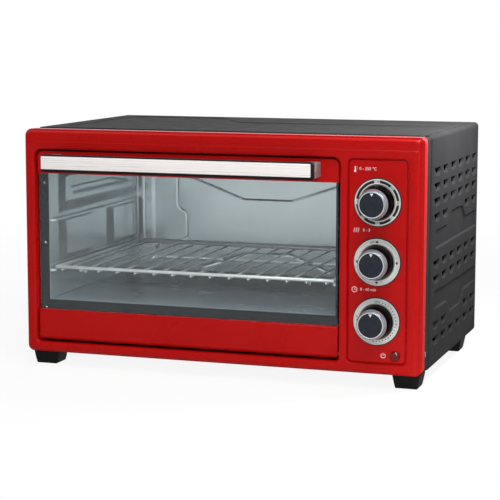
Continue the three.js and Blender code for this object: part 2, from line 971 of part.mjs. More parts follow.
// Frame of thick rod with thin cross wires under it; the second wire from each side dips as a stop.
function makeRack() {
  const overlap = rackRodRadius;
  const frame = [
    wire([[rackLeft - overlap, rackFront, rackZ], [rackRight + overlap, rackFront, rackZ]], rackRodRadius),
    wire([[rackLeft - overlap, rackRear, rackZ], [rackRight + overlap, rackRear, rackZ]], rackRodRadius),
    wire([[rackLeft, rackFront, rackZ], [rackLeft, rackRear, rackZ]], rackRodRadius),
    wire([[rackRight, rackFront, rackZ], [rackRight, rackRear, rackZ]], rackRodRadius),
  ];
  const first = rackLeft + rackWireInset;
  const pitch = (rackRight - rackWireInset - first) / (rackWireCount - 1);
  const wireZ = rackZ - rackRodRadius - rackWireRadius + rackBite;
  const front = rackFront - rackWireTick;
  const rear = rackRear + rackRodRadius;
  const stops = [1, rackWireCount - 2];
  const wires = [];
  for (let index = 0; index < rackWireCount; index++) {
    const x = first + index * pitch;
    const straight = [[x, front, wireZ], [x, rear, wireZ]];
    const dips = [rackFront + stopInset, rackRear - stopInset].flatMap((y) => [
      [x, y - stopSpan / 2, wireZ],
      [x, y, wireZ - stopDrop],
      [x, y + stopSpan / 2, wireZ],
    ]);
    wires.push(wire(stops.includes(index) ? [straight[0], ...dips, straight[1]] : straight, rackWireRadius));
  }
  return joinAll([...frame, ...wires]);
}

function makeDial(z) {
  const back = dialFront + dialThickness;
  const profile = [
    [dialHole, back],
    [dialHole, dialFront],
    [dialRadius - dialRim, dialFront],
    [dialRadius - dialRim, dialFront - dialRimStep],
    [dialRadius, dialFront - dialRimStep],
    [dialRadius, back],
    [dialHole, back],
  ];
  return turnedY(profile, dialX, z);
}

function makeSkirt(z) {
  const slope = (skirtRadius - skirtTopRadius) / skirtDepth;
  const roofBack = skirtFront + skirtRoof;
  const innerTop = skirtTopRadius + slope * skirtRoof - skirtWall;
  const body = turnedY(
    [[0, skirtFront], [skirtTopRadius, skirtFront], [skirtRadius, knobBack], [0, knobBack]],
    dialX,
    z,
  );
  const hollow = turnedY(
    [
      [hubRadius, roofBack],
      [innerTop, roofBack],
      [skirtRadius - skirtWall, knobBack],
      [skirtRadius - skirtWall, knobBack + overrun],
      [hubRadius, knobBack + overrun],
      [hubRadius, roofBack],
    ],
    dialX,
    z,
  );
  const boreEnd = skirtFront + shaftBite - runningGap;
  const bore = shaftSolid(z, shaftRadius + runningGap, boreEnd, knobBack + overrun);
  return body.subtract(hollow).subtract(bore);
}

// Round shaft with a flat, turned as the pointer stands at rest.
function shaftSolid(z, radius, front, back) {
  const round = turnedY(drum(radius, front, back), dialX, z, smallRoundSteps);
  const flatZ = z - radius + shaftFlat;
  const lowZ = z - radius - overrun;
  const flat = block(dialX - radius, dialX + radius, front - overrun, fasciaRecess, lowZ, flatZ);
  return round.subtract(flat);
}

function makeCap(z) {
  const back = skirtFront - fitGap;
  const front = back - capDepth;
  const profile = [
    [0, front + faceSink],
    [faceRadius + runningGap, front + faceSink],
    [faceRadius + runningGap, front],
    [capTopRadius, front],
    [skirtTopRadius, back],
    [0, back],
  ];
  return turnedY(profile, dialX, z);
}

function makeFace(z) {
  const front = skirtFront - fitGap - capDepth + faceSink - fitGap - faceThickness;
  const disc = turnedY(drum(faceRadius, front, front + faceThickness), dialX, z);
  const tip = z + faceRadius - pointerMargin;
  const pointer = slabXZ(
    outline([
      [dialX - pointerWidth / 2, tip],
      [dialX, tip - pointerLength],
      [dialX + pointerWidth / 2, tip],
    ]),
    front - pointerRise,
    front + faceThickness / 2,
  );
  return disc.add(pointer);
}

function makeShaft(z) {
  return shaftSolid(z, shaftRadius, skirtFront + shaftBite, gearFront + shaftSeat);
}

function gearBox(width, height, depth, z) {
  const halfWidth = width / 2;
  const halfHeight = height / 2;
  const back = gearFront + depth;
  const box = block(dialX - halfWidth, dialX + halfWidth, gearFront, back, z - halfHeight, z + halfHeight);
  const seat = drum(shaftRadius + fitGap, gearFront - overrun, gearFront + shaftSeat + fitGap);
  return box.subtract(turnedY(seat, dialX, z, smallRoundSteps));
}

function makeBell(z) {
  const front = gearFront + timerDepth + fitGap;
  const back = front + bellDepth;
  const profile = [
    [0, front],
    [bellStemRadius, front],
    [bellStemRadius, back - bellWall],
    [bellRadius - bellWall, back - bellWall],
    [bellRadius - bellWall, front + bellWall],
    [bellRadius, front + bellWall],
    [bellRadius, back],
    [0, back],
  ];
  return turnedY(profile, dialX, z);
}

function makeLens() {
  const face = fasciaRecess - fitGap;
  const profile = [
    [0, face - lampDome],
    [lampRadius / 2, face - lampDome * domeShare],
    [lampRadius, face],
    [lampStemRadius, face],
    [lampStemRadius, fasciaBackY + lampTail],
    [0, fasciaBackY + lampTail],
  ];
  return turnedY(profile, lampX, lampZ, smallRoundSteps);
}

function makeLampHolder() {
  const profile = drum(lampHolderRadius, fasciaBackY + lampTail + fitGap, bracketFront - fitGap);
  return turnedY(profile, lampX, lampZ, smallRoundSteps);
}

function makeTerminal() {
  const x1 = sideX - terminalSideGap;
  const y1 = bodyDepth - terminalRearGap;
  const z0 = plateTop + fitGap;
  return block(x1 - terminalWidth, x1, y1 - terminalDepth, y1, z0, z0 + terminalHeight);
}

// Square block that narrows to its sole, with a barbed stem that snaps into the floor plate.
function makeFoot(x, y) {
  const high = floorZ - fitGap;
  const pad = new THREE.CylinderGeometry(footTopWidth / Math.SQRT2, footSoleWidth / Math.SQRT2, high, 4);
  pad.rotateY(Math.PI / 4);
  pad.rotateX(Math.PI / 2);
  pad.translate(x, y, high / 2);
  const barb = plateTop + fitGap;
  const profile = [
    [0, high / 2],
    [footStemRadius, high / 2],
    [footStemRadius, barb],
    [footBarbRadius, barb],
    [footStemRadius, barb + footBarbHeight],
    [0, barb + footBarbHeight],
  ];
  return solid(pad).add(turnedZ(profile, x, y, smallRoundSteps));
}

function ventCuts(columns, rows, rowPitch, cut) {
  const cuts = [];
  for (let row = 0; row < rows; row++) {
    for (let column = 0; column < columns; column++) {
      cuts.push(cut((column - (columns - 1) / 2) * ventColumnPitch, (row - (rows - 1) / 2) * rowPitch));
    }
  }
  return cuts;
}

function makeBottomPlate() {
  const low = floorZ + plateInset;
  const side = sideX - plateInset;
  const middleY = (frameBack + rearPanelFront) / 2;
  const plate = block(-side, side, frameBack + fitGap, rearPanelFront - fitGap, low, plateTop);
  const holes = feet.map(([, x, y]) =>
    turnedZ(drum(footStemRadius + fitGap, low - overrun, plateTop + overrun), x, y, smallRoundSteps),
  );
  const vents = ventCuts(bottomVentColumns, bottomVentRows, bottomVentRowPitch, (u, v) =>
    block(
      u - ventLength / 2,
      u + ventLength / 2,
      middleY + v - ventHeight / 2,
      middleY + v + ventHeight / 2,
      low - overrun,
      plateTop + overrun,
    ),
  );
  return cutAll(plate, [...holes, ...vents]);
}

function makeRearPanel() {
  const side = sideX - sheet - fitGap;
  const low = floorZ + sheet + fitGap;
  const high = topZ - sheet - fitGap;
  const radius = shellCorner - sheet - fitGap;
  const base = slabXZ(roundedRect(-side, side, low, high, radius), rearPanelFront, rearPanelBack);
  const fieldHigh = high - rearFieldTop;
  const fieldLow = low + rearFieldBottom;
  const panel = pressed(slabXZ, rearPanelFront, rearPanelBack, -1, base, [
    [-side + rearFieldSide, side - rearFieldSide, fieldLow, fieldHigh, rearFieldSink],
  ]);
  const vents = ventCuts(rearVentColumns, rearVentRows, rearVentRowPitch, (u, v) =>
    block(
      u - ventLength / 2,
      u + ventLength / 2,
      rearPanelFront - rearFieldSink - overrun,
      rearPanelBack + overrun,
      (fieldLow + fieldHigh) / 2 + v - ventHeight / 2,
      (fieldLow + fieldHigh) / 2 + v + ventHeight / 2,
    ),
  );
  const hole = drum(glandRadius + fitGap, rearPanelFront - overrun, rearPanelBack + overrun);
  return cutAll(panel, [...vents, turnedY(hole, glandX, glandZ)]);
}

function makeGland() {
  const end = bodyDepth + glandReach;
  const inside = rearPanelFront - fitGap;
  const profile = [
    [glandBore, inside - glandFlange],
    [glandNutRadius, inside - glandFlange],
    [glandNutRadius, inside],
    [glandRadius, inside],
    [glandRadius, rearPanelBack + fitGap],
    [glandFlangeRadius, rearPanelBack + fitGap],
    [glandFlangeRadius, rearPanelBack + fitGap + glandFlange],
    [glandRadius, end],
    [glandBore, end],
    [glandBore, inside - glandFlange],
  ];
  return turnedY(profile, glandX, glandZ);
}

function makeScrew(side) {
  const seat = sideX - bandInset + fitGap;
  const profile = [
    [0, seat - screwLength],
    [screwShankRadius, seat - screwLength],
    [screwShankRadius, seat],
    [screwRadius, seat],
    [screwShankRadius, seat + screwHead],
    [0, seat + screwHead],
  ];
  const placed = profile.map(([radius, x]) => [radius, side * x]);
  return turnedX(placed, shellFront + screwSetback, floorZ + screwRise, smallRoundSteps);
}

place("outer_shell", makeOuterShell(), darkSteel, 0.45, 0.2);
place("bottom_plate", makeBottomPlate(), zincSteel, 0.5, 0.8);
place("rear_panel", makeRearPanel(), darkSteel, 0.5, 0.2);
place("front_bezel", makeBezel(), red, 0.3, 0);
place("control_fascia", makeFascia(), red, 0.3, 0);
place("front_frame", makeFrontFrame(), darkSteel, 0.5, 0.5);
place("cavity_left_wall", makeSideWall(-1), innerSteel, 0.35, 0.9);
place("cavity_right_wall", makeSideWall(1), innerSteel, 0.35, 0.9);
place("cavity_rear_wall", makeRearWall(), innerSteel, 0.35, 0.9);
place("cavity_roof", makeRoof(), innerSteel, 0.35, 0.9);
place("cavity_floor", makeFloor(), innerSteel, 0.3, 0.9);
for (const { name, y, z } of heaterPlaces) {
  place(name, makeHeater(y, z), 0x6b6c6a, 0.4, 0.8);
}
place("wire_rack", makeRack(), 0xd8dcde, 0.2, 1);
place("control_bracket", makeBracket(), zincSteel, 0.5, 0.8);
for (const { name, z } of controls) {
  place("dial_" + name, makeDial(z), 0xc9cccd, 0.3, 0.7);
  place("knob_skirt_" + name, makeSkirt(z), blackPlastic, 0.35, 0);
  place("knob_cap_" + name, makeCap(z), 0xe4e6e8, 0.12, 1);
  place("knob_face_" + name, makeFace(z), 0x33363f, 0.3, 0.1);
  place("shaft_" + name, makeShaft(z), zincSteel, 0.4, 0.9);
}
const [temperature, selector, timer] = controls;
const thermostat = gearBox(thermostatWidth, thermostatHeight, thermostatDepth, temperature.z);
place("thermostat", thermostat, ceramic, 0.6, 0);
place("function_switch", gearBox(switchWidth, switchWidth, switchDepth, selector.z), ceramic, 0.6, 0);
place("timer_mechanism", gearBox(timerWidth, timerWidth, timerDepth, timer.z), zincSteel, 0.4, 0.8);
place("timer_bell", makeBell(timer.z), 0xc8ccd0, 0.25, 1);
place("lamp_lens", makeLens(), 0x6a0c0c, 0.15, 0);
place("lamp_holder", makeLampHolder(), blackPlastic, 0.5, 0);
place("terminal_block", makeTerminal(), 0xe6e2d6, 0.5, 0);
place("cord_gland", makeGland(), blackPlastic, 0.5, 0);
for (const [name, x, y] of feet) {
  place(name, makeFoot(x, y), blackPlastic, 0.6, 0);
}
for (const [name, side, edge] of [["left", -1, doorLeft], ["right", 1, doorRight]]) {
  place("hinge_pin_" + name, makePin(side, edge), 0xc0c4c8, 0.25, 1);
  place("hinge_bracket_" + name, makeHingeBracket(side, edge), zincSteel, 0.5, 0.8);
  place("shell_screw_" + name, makeScrew(side), zincSteel, 0.3, 0.9);
}
place("door_glass", makeGlass(), 0xa6b4b6, 0.05, 0, 0.35);
place("door_top_rail", makeTopRail(), red, 0.3, 0);
place("door_bottom_rail", makeBottomRail(), red, 0.3, 0);
place("handle_bar", makeHandleBar(), blackPlastic, 0.4, 0);
place("handle_plate", makeHandlePlate(), 0xdedbd8, 0.35, 0.9);
place("handle_post_left", makePost(handleLeft), 0x8c8e90, 0.35, 0.6);
place("handle_post_right", makePost(handleRight - postWidth), 0x8c8e90, 0.35, 0.6);
place("door_stay_left", makeStay(stayLeftX), zincSteel, 0.4, 0.9);
place("door_stay_right", makeStay(stayRightX), zincSteel, 0.4, 0.9);

export default oven;
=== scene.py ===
import math
import bpy
import bmesh
import numpy as np
from mathutils import Matrix, Vector
from mathutils.geometry import delaunay_2d_cdt


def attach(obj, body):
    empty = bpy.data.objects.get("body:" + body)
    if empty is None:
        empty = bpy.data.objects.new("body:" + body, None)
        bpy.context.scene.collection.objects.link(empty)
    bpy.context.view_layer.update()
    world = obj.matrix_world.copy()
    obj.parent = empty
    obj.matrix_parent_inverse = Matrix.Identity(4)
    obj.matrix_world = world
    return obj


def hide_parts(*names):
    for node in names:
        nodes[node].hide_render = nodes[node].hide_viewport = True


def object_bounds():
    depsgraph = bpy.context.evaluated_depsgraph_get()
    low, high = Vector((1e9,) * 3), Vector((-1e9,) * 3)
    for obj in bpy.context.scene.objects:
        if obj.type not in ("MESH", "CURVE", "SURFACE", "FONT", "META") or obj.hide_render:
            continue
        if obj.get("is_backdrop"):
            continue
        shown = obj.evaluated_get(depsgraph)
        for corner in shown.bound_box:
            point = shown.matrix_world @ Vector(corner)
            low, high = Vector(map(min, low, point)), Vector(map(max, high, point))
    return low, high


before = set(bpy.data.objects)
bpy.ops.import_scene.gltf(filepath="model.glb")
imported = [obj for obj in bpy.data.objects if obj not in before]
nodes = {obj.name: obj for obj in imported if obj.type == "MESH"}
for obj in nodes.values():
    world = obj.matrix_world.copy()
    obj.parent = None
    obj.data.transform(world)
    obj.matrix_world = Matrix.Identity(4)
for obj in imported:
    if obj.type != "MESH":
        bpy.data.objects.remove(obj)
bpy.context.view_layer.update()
print("frame loaded:", len(nodes), "nodes")

mm = 0.001  # every length below is in millimetres
metre = 1000  # in millimetres: a pattern's scale is a metre over the size of one grain
bodyFront = 143.5  # the front of the bezel lies this far in front of the part's middle
bodyFoot = 16.5  # the underside of the body lies this high above the table
hair = 0.01  # slack where two heights are compared
weld = 0.002  # points that are closer than this become one

# Shapes that the pieces are made from


# A grid of rows by columns points gives one four-sided face per cell; a closed direction joins its last line
# to its first.
def gridFaces(rows, columns, closedRows=False, closedColumns=False):
    row, column = np.meshgrid(
        np.arange(rows if closedRows else rows - 1),
        np.arange(columns if closedColumns else columns - 1),
        indexing="ij",
    )
    here, after, right = row * columns, (row + 1) % rows * columns, (column + 1) % columns
    return np.stack([here + column, here + right, after + right, after + column], -1).reshape(-1, 4).tolist()


# The same faces, seen from their other side: each one's corners in reverse.
def flipped(faces):
    return [face[::-1] for face in faces]


# Turns (across, up, along) into x, y, z for a piece that runs along the given axis.
def setOnAxis(across, up, along, axis="y"):
    order = {"x": (along, across, up), "y": (across, along, up), "z": (across, up, along)}[axis]
    return np.stack(np.broadcast_arrays(*order), -1).reshape(-1, 3)


# Places along a line: even steps of about the given size between each mark and the next, and each mark once.
def steppedPlaces(marks, steps):
    counts = [max(2, int(round((b - a) / step)) + 1) for a, b, step in zip(marks, marks[1:], steps)]
    parts = [np.linspace(a, b, count) for a, b, count in zip(marks, marks[1:], counts)]
    return np.unique(np.round(np.concatenate(parts), 4))


# A rectangle with round corners: its radii run from low left round by low right, or one stands for all four.
# Stops are heights at which its upright sides get a point more.
def roundRect(left, right, low, high, *radii, stops=()):
    return left, right, low, high, radii if len(radii) == 4 else radii * 4, stops


# One ring of that rectangle, moved inwards by inset: corner centre plus radius times (cos, sin) over a
# quarter turn.
def cornerRing(shape, inset, steps):
    left, right, low, high, radii, stops = shape
    quarter = np.linspace(0, math.pi / 2, steps + 1)
    corners = [(left, low, 1, 1, 2), (right, low, -1, 1, 3), (right, high, -1, -1, 0), (left, high, 1, -1, 1)]
    arcs = []
    for (across, up, inAcross, inUp, quarters), radius in zip(corners, radii):
        room, bend = max(radius, inset), max(radius - inset, 0)
        turn = quarters * math.pi / 2 + quarter
        arc = across + inAcross * room + bend * np.cos(turn), up + inUp * room + bend * np.sin(turn)
        arcs.append(np.stack(arc, -1))
    stops = np.array(stops, float)
    rightSide = np.stack([0 * stops + right - inset, stops], -1)
    leftSide = np.stack([0 * stops + left + inset, stops[::-1]], -1)
    return np.concatenate([arcs[0], arcs[1], rightSide, arcs[2], arcs[3], leftSide])


# Rings of one count, each set at its place along the axis and joined to the next; where capped, both ends
# are closed.
def joinedRings(rings, places, axis="y", capped=True):
    points = np.concatenate([setOnAxis(*ring.T, along, axis) for ring, along in zip(rings, places)])
    count = len(rings[0])
    faces = gridFaces(len(rings), count, closedColumns=True)
    if capped:
        faces += [list(range(count))[::-1], list(range(len(points) - count, len(points)))]
    return points, faces


# A profile of (inset, along) carried round a rectangle with round corners, ring after ring.
def carriedRound(shape, profile, steps, axis="y", capped=True):
    rings = [cornerRing(shape, inset, steps) for inset, along in profile]
    return joinedRings(rings, [along for inset, along in profile], axis, capped)


# Insets and depths of a block with rounded back and front edges: a quarter circle at each end.
def roundedEnds(back, front, backRadius, frontRadius, steps=4):
    quarter = np.linspace(0, math.pi / 2, steps + 1)
    rear = [(backRadius * (1 - math.sin(q)), back - backRadius * (1 - math.cos(q))) for q in quarter]
    fore = [(frontRadius * (1 - math.cos(q)), front + frontRadius * (1 - math.sin(q))) for q in quarter]
    return rear + fore


# A profile of (radius, along) turned once round a centre.
def turned(profile, centre, steps, axis="y"):
    radius, along = np.array(profile, float).T
    turn = np.linspace(0, 2 * math.pi, steps, endpoint=False)
    across = centre[0] + radius[:, None] * np.cos(turn)
    up = centre[1] + radius[:, None] * np.sin(turn)
    return setOnAxis(across, up, along[:, None], axis), gridFaces(len(profile), steps, closedColumns=True)


# A round rod: at each point of the path a circle stands square to the path's direction; its ends are
# chamfered and closed.
def rod(path, radius, sides):
    path = np.asarray(path, float)
    tangent = np.gradient(path, axis=0)
    tangent /= np.linalg.norm(tangent, axis=1)[:, None]
    chamfer = 0.4 * radius
    start, end = path[0] + chamfer * tangent[0], path[-1] - chamfer * tangent[-1]
    path = np.concatenate([[path[0], path[0], start], path[1:-1], [end, path[-1], path[-1]]])
    tangent = np.concatenate([[tangent[0]] * 2, tangent, [tangent[-1]] * 2])
    radii = np.full(len(path), float(radius))
    radii[[0, -1]], radii[[1, -2]] = 0, radius - chamfer
    helper = np.eye(3)[np.argmin(np.abs(tangent).sum(0))]
    side = np.cross(tangent, helper)
    side /= np.linalg.norm(side, axis=1)[:, None]
    over = np.cross(side, tangent)
    turn = np.linspace(0, 2 * math.pi, sides, endpoint=False)[:, None]
    circle = side[:, None] * np.cos(turn) + over[:, None] * np.sin(turn)
    points = path[:, None] + radii[:, None, None] * circle
    return points.reshape(-1, 3), gridFaces(len(path), sides, closedColumns=True)


# Rounds the bends of a path: each corner becomes a quadratic curve that starts and ends reach away from it.
def softPath(points, reach, steps=6):
    points = np.asarray(points, float)
    share = np.linspace(0, 1, steps + 1)[:, None]
    out = [points[:1]]
    for before, corner, after in zip(points[:-2], points[1:-1], points[2:]):
        start, end = (corner + way / np.linalg.norm(way) * min(reach, np.linalg.norm(way) / 2)
            for way in (before - corner, after - corner))
        out.append((1 - share) ** 2 * start + 2 * share * (1 - share) * corner + share ** 2 * end)
    return np.concatenate(out + [points[-1:]])


# Triangles between an outer loop and its holes, all at one depth and facing the front.
def flatFill(loops, depth):
    corners = np.concatenate(loops)
    edges, start = [], 0
    for loop in loops:
        edges += [(start + i, start + (i + 1) % len(loop)) for i in range(len(loop))]
        start += len(loop)
    found = delaunay_2d_cdt([Vector(corner) for corner in corners], edges, [], 1, 1e-4)
    corners, triangles = np.array([tuple(corner) for corner in found[0]]), np.array(found[2])
    middle = corners[triangles].mean(1).T
    kept = insidePolygon(*middle, loops[0]) > 0
    for hole in loops[1:]:
        kept &= insidePolygon(*middle, hole) < 0
    triangles = triangles[kept]
    a, b, c = np.moveaxis(corners[triangles], 1, 0)
    area = (b[:, 0] - a[:, 0]) * (c[:, 1] - a[:, 1]) - (b[:, 1] - a[:, 1]) * (c[:, 0] - a[:, 0])
    triangles[area < 0] = triangles[area < 0][:, ::-1]
    return setOnAxis(*corners.T, depth), triangles.tolist()


# A flat line of ink: the path is moved half the width to both sides, at a front and a back depth, which
# makes a closed strip.
def inkStrip(path, width, depths, closed=False):
    path = np.asarray(path, float)
    step = np.roll(path, -1, 0) - np.roll(path, 1, 0) if closed else np.gradient(path, axis=0)
    step /= np.linalg.norm(step, axis=1)[:, None]
    across = np.stack([-step[:, 1], step[:, 0]], -1) * width / 2
    front, back = depths
    rails = [(path + across, front), (path - across, front), (path - across, back), (path + across, back)]
    points = np.stack([setOnAxis(*rail.T, depth) for rail, depth in rails], 1).reshape(-1, 3)
    faces = gridFaces(len(path), 4, closedRows=closed, closedColumns=True)
    if not closed:
        faces += [[3, 2, 1, 0], list(range(len(points) - 4, len(points)))]
    return points, faces


# A round spot of ink: a low closed cylinder.
def inkSpot(centre, radius, depths):
    front, back = depths
    return turned([(0, back), (radius, back), (radius, front), (0, front)], centre, 20)


# Points of a circle's arc in degrees, clockwise from the top as on a dial: centre plus radius times (sin,
# cos).
def dialArc(centre, radius, start, end, steps=24):
    turn = np.radians(np.linspace(start, end, steps))
    return np.stack([centre[0] + radius * np.sin(turn), centre[1] + radius * np.cos(turn)], -1)


# 0 to 1 with a level start and end: three times the square less twice the cube.
def eased(share):
    share = np.clip(share, 0, 1)
    return share * share * (3 - 2 * share)


# Least distance of each grid point to a line of several stretches.
def lineDistance(u, v, line):
    nearest = np.full(np.broadcast(u, v).shape, 1e9)
    for (u0, v0), (u1, v1) in zip(line[:-1], line[1:]):
        du, dv = u1 - u0, v1 - v0
        share = np.clip(((u - u0) * du + (v - v0) * dv) / (du * du + dv * dv), 0, 1)
        nearest = np.minimum(nearest, np.hypot(u - u0 - share * du, v - v0 - share * dv))
    return nearest


# How far each grid point lies inside a polygon: its least distance to an edge, negative outside. A point is
# inside where a level line from it crosses an odd count of edges.
def insidePolygon(u, v, polygon):
    line = np.asarray([*polygon, polygon[0]], float)
    nearest = lineDistance(u, v, line)
    inside = np.zeros(nearest.shape, bool)
    for (u0, v0), (u1, v1) in zip(line[:-1], line[1:]):
        crosses = (v0 > v) != (v1 > v)
        inside ^= crosses & (u < u0 + (v - v0) * (u1 - u0) / ((v1 - v0) or 1))
    return np.where(inside, nearest, -nearest)


# A pressed crease: a cosine hump of the given width and height along a line.
def crease(u, v, line, width, height):
    away = np.clip(lineDistance(u, v, line) / (width / 2), 0, 1)
    return height * (0.5 + 0.5 * np.cos(math.pi * away))


# A pressed field with sloping sides: rises from each side over its own slope width until it is flat.
def slopedField(u, v, field):
    u0, u1, v0, v1 = field["box"]
    ways = (u - u0, u1 - u, v - v0, v1 - v)
    rise = np.minimum.reduce([way / slope for way, slope in zip(ways, field["slopes"])])
    return field["depth"] * np.clip(rise, 0, 1)


# Makes one piece of the oven: joins its surfaces, closes their seams, smooths what isn't a sharp edge and
# sets it on its body. A surface with a third item takes the second finish. A piece with a wall is an open
# sheet, which gets its thickness inwards from the face that shows.
def makePiece(name, surfaces, finishes, replaced=None, body="cabinet", wall=0, sharp=32):
    points, faces, slots, start = [], [], [], 0
    for shapePoints, shapeFaces, *second in surfaces:
        points.append(shapePoints)
        faces += [[start + corner for corner in face] for face in shapeFaces]
        slots += [len(second)] * len(shapeFaces)
        start += len(shapePoints)
    mesh = bpy.data.meshes.new(name)
    mesh.from_pydata(np.concatenate(points) * mm, [], faces)
    mesh.polygons.foreach_set("material_index", slots)
    work = bmesh.new()
    work.from_mesh(mesh)
    bmesh.ops.remove_doubles(work, verts=work.verts, dist=weld * mm)
    if not wall:
        bmesh.ops.recalc_face_normals(work, faces=work.faces)
    work.to_mesh(mesh)
    work.free()
    mesh.polygons.foreach_set("use_smooth", [True] * len(mesh.polygons))
    mesh.set_sharp_from_angle(angle=math.radians(sharp))
    for finish in finishes if isinstance(finishes, list) else [finishes]:
        mesh.materials.append(finish)
    piece = bpy.data.objects.new(name, mesh)
    bpy.context.scene.collection.objects.link(piece)
    if wall:
        thickness = piece.modifiers.new("wall", "SOLIDIFY")
        thickness.thickness = wall * mm
        thickness.offset = -1
    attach(piece, body)
    if replaced:
        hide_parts(replaced)


# Finishes


# A colour written in hex, turned to the renderer's linear values.
def linearColour(hexText):
    parts = [int(hexText[i:i + 2], 16) / 255 for i in (1, 3, 5)]
    return tuple(p / 12.92 if p <= 0.04045 else ((p + 0.055) / 1.055) ** 2.4 for p in parts) + (1.0,)


# Adds one node and gives its outputs: settings are its properties, inputs are values or other nodes' outputs.
def addNode(tree, kind, inputs=None, **settings):
    node = tree.nodes.new("ShaderNode" + kind)
    for key, value in settings.items():
        setattr(node, key, value)
    for key, value in (inputs or {}).items():
        if isinstance(value, bpy.types.NodeSocket):
            tree.links.new(value, node.inputs[key])
        else:
            node.inputs[key].default_value = value
    return node.outputs


# A material with no nodes yet, its tree, and the place on the piece that its patterns read.
def emptyFinish(name):
    finish = bpy.data.materials.new(name)
    finish.use_nodes = True
    tree = finish.node_tree
    tree.nodes.clear()
    return finish, tree, addNode(tree, "TexCoord")["Object"]


# A finish from real sizes: two close colours in patches, a roughness that wanders, and a fine grain that
# stands up by relief. A painted reflection, where one is given, darkens it along the depth from start to end,
# with a wavy edge.
def surfaceFinish(name, colours, patch, rough, grain, relief, shader, smudge=0, stretch=(1, 1, 1), paintedReflection=0):
    finish, tree, place = emptyFinish(name)
    place = addNode(tree, "Mapping", {"Vector": place, "Scale": stretch})[0]
    noise = {"Vector": place, "Scale": metre / patch, "Detail": 3.0, "Roughness": 0.55}
    patches = addNode(tree, "TexNoise", noise)["Fac"]
    spread = addNode(tree, "MapRange", {"Value": patches, "From Min": 0.32, "From Max": 0.68})[0]
    first, second = (linearColour(colour) for colour in colours)
    colour = addNode(tree, "Mix", {0: spread, 6: first, 7: second}, data_type="RGBA")[2]
    # Painted dark reflection: a darker colour mixed in along the depth, with a wavy edge
    if paintedReflection:
        wave, start, end = (paintedReflection[key] * mm for key in ("wave", "start", "end"))
        depth = addNode(tree, "SeparateXYZ", {0: place})["Y"]
        depth = addNode(tree, "Math", {0: patches, 1: wave, 2: depth}, operation="MULTIPLY_ADD")[0]
        edge = {"Value": depth, "From Min": start + wave / 2, "From Max": end + wave / 2}
        reflectionShare = addNode(tree, "MapRange", edge)[0]
        second = linearColour(paintedReflection["colour"])
        colour = addNode(tree, "Mix", {0: reflectionShare, 6: colour, 7: second}, data_type="RGBA")[2]
    noise = {"Vector": place, "Scale": metre / (smudge or patch / 2), "Detail": 2.0}
    wander = addNode(tree, "TexNoise", noise)["Fac"]
    between = {"Value": wander, "From Min": 0.3, "From Max": 0.7, "To Min": rough[0], "To Max": rough[1]}
    roughness = addNode(tree, "MapRange", between)[0]
    height = addNode(tree, "TexNoise", {"Vector": place, "Scale": metre / grain, "Detail": 2.0})["Fac"]
    bump = addNode(tree, "Bump", {"Height": height, "Strength": 0.4, "Distance": relief * mm})[0]
    skin = {"Base Color": colour, "Roughness": roughness, "Normal": bump, **shader}
    addNode(tree, "OutputMaterial", {"Surface": addNode(tree, "BsdfPrincipled", skin)[0]})
    return finish


# Red gloss lacquer sprayed on the front: even deep red, a clear wet skin with a faint orange peel
redLacquer = surfaceFinish("red_gloss_lacquer", ("#A80B0B", "#AC0D0D"), patch=90, rough=(0.26, 0.32),
    grain=2.2, relief=0.002, shader={"IOR": 1.5, "Specular IOR Level": 0.13})
# Powder-coated steel of the cabinet: near black with a fine sandy grain that catches light on top
blackPowderCoat = surfaceFinish("black_powder_coated_steel", ("#272728", "#2B2B2C"), patch=35,
    rough=(0.42, 0.5), grain=1.4, relief=0.02, shader={"IOR": 1.5, "Specular IOR Level": 0.01})
# Aluminised steel of the oven's inside: pale blue-grey metal, soft mirror, faint cloudy spangle
aluminisedSteel = surfaceFinish("aluminised_steel_sheet", ("#D2DADE", "#DAE1E4"), patch=45, rough=(0.2, 0.25),
    grain=3.0, relief=0.001, shader={"Metallic": 0.8})
# The floor's sheet: dull and darker than the walls, with a painted dark reflection that is strongest towards
# the rear and has a wavy edge to the dark part
floorSteel = surfaceFinish("aluminised_steel_floor", ("#687077", "#6F777D"), patch=60, rough=(0.2, 0.28),
    grain=9.0, relief=0.002, shader={"Metallic": 0.0, "Specular IOR Level": 0.01},
    paintedReflection={"colour": "#2B3138", "start": -10.0, "end": 30.0, "wave": 60.0})
# Dark phosphated steel of the mouth frame: flat charcoal with a dull sheen
darkSteel = surfaceFinish("phosphated_steel_frame", ("#14181C", "#191D22"), patch=25, rough=(0.45, 0.55),
    grain=1.2, relief=0.01, shader={"Metallic": 0.0, "Specular IOR Level": 0.03})
# Zinc-plated sheet under and inside the cabinet: grey crystals
zincSheet = surfaceFinish("zinc_plated_sheet", ("#8E9295", "#A5A9AB"), patch=9, rough=(0.35, 0.5),
    grain=2.0, relief=0.01, shader={"Metallic": 0.9})
# Sheathed heating tube: heat-browned steel, dull
heaterSheath = surfaceFinish("heat_browned_steel_tube", ("#6A655D", "#565049"), patch=18, rough=(0.4, 0.55),
    grain=1.0, relief=0.02, shader={"Metallic": 0.85})
# Nickel-plated wire of the rack: bright, with small dull places
platedWire = surfaceFinish("nickel_plated_wire", ("#D3D5D6", "#C6C9CA"), patch=12, rough=(0.28, 0.36),
    grain=1.5, relief=0.002, shader={"Metallic": 0.4})
# Gloss ABS of the knob skirts: deep black, polished mould, soft highlight
glossBlack = surfaceFinish("gloss_black_abs", ("#060607", "#09090A"), patch=20, rough=(0.18, 0.24),
    grain=3.0, relief=0.002, shader={"IOR": 1.54, "Specular IOR Level": 0.01})
# Chromed ABS of the knob caps: mirror with the slight waves of plated plastic
chromedCap = surfaceFinish("chrome_plated_abs", ("#93A1AA", "#8B99A2"), patch=10, rough=(0.16, 0.22),
    grain=6.0, relief=0.004, shader={"Metallic": 0.45})
# Moulded knob face: blue-grey satin plastic
satinFace = surfaceFinish("satin_slate_abs", ("#25272F", "#2A2D35"), patch=8, rough=(0.3, 0.4),
    grain=0.8, relief=0.006, shader={"IOR": 1.5, "Specular IOR Level": 0.15})
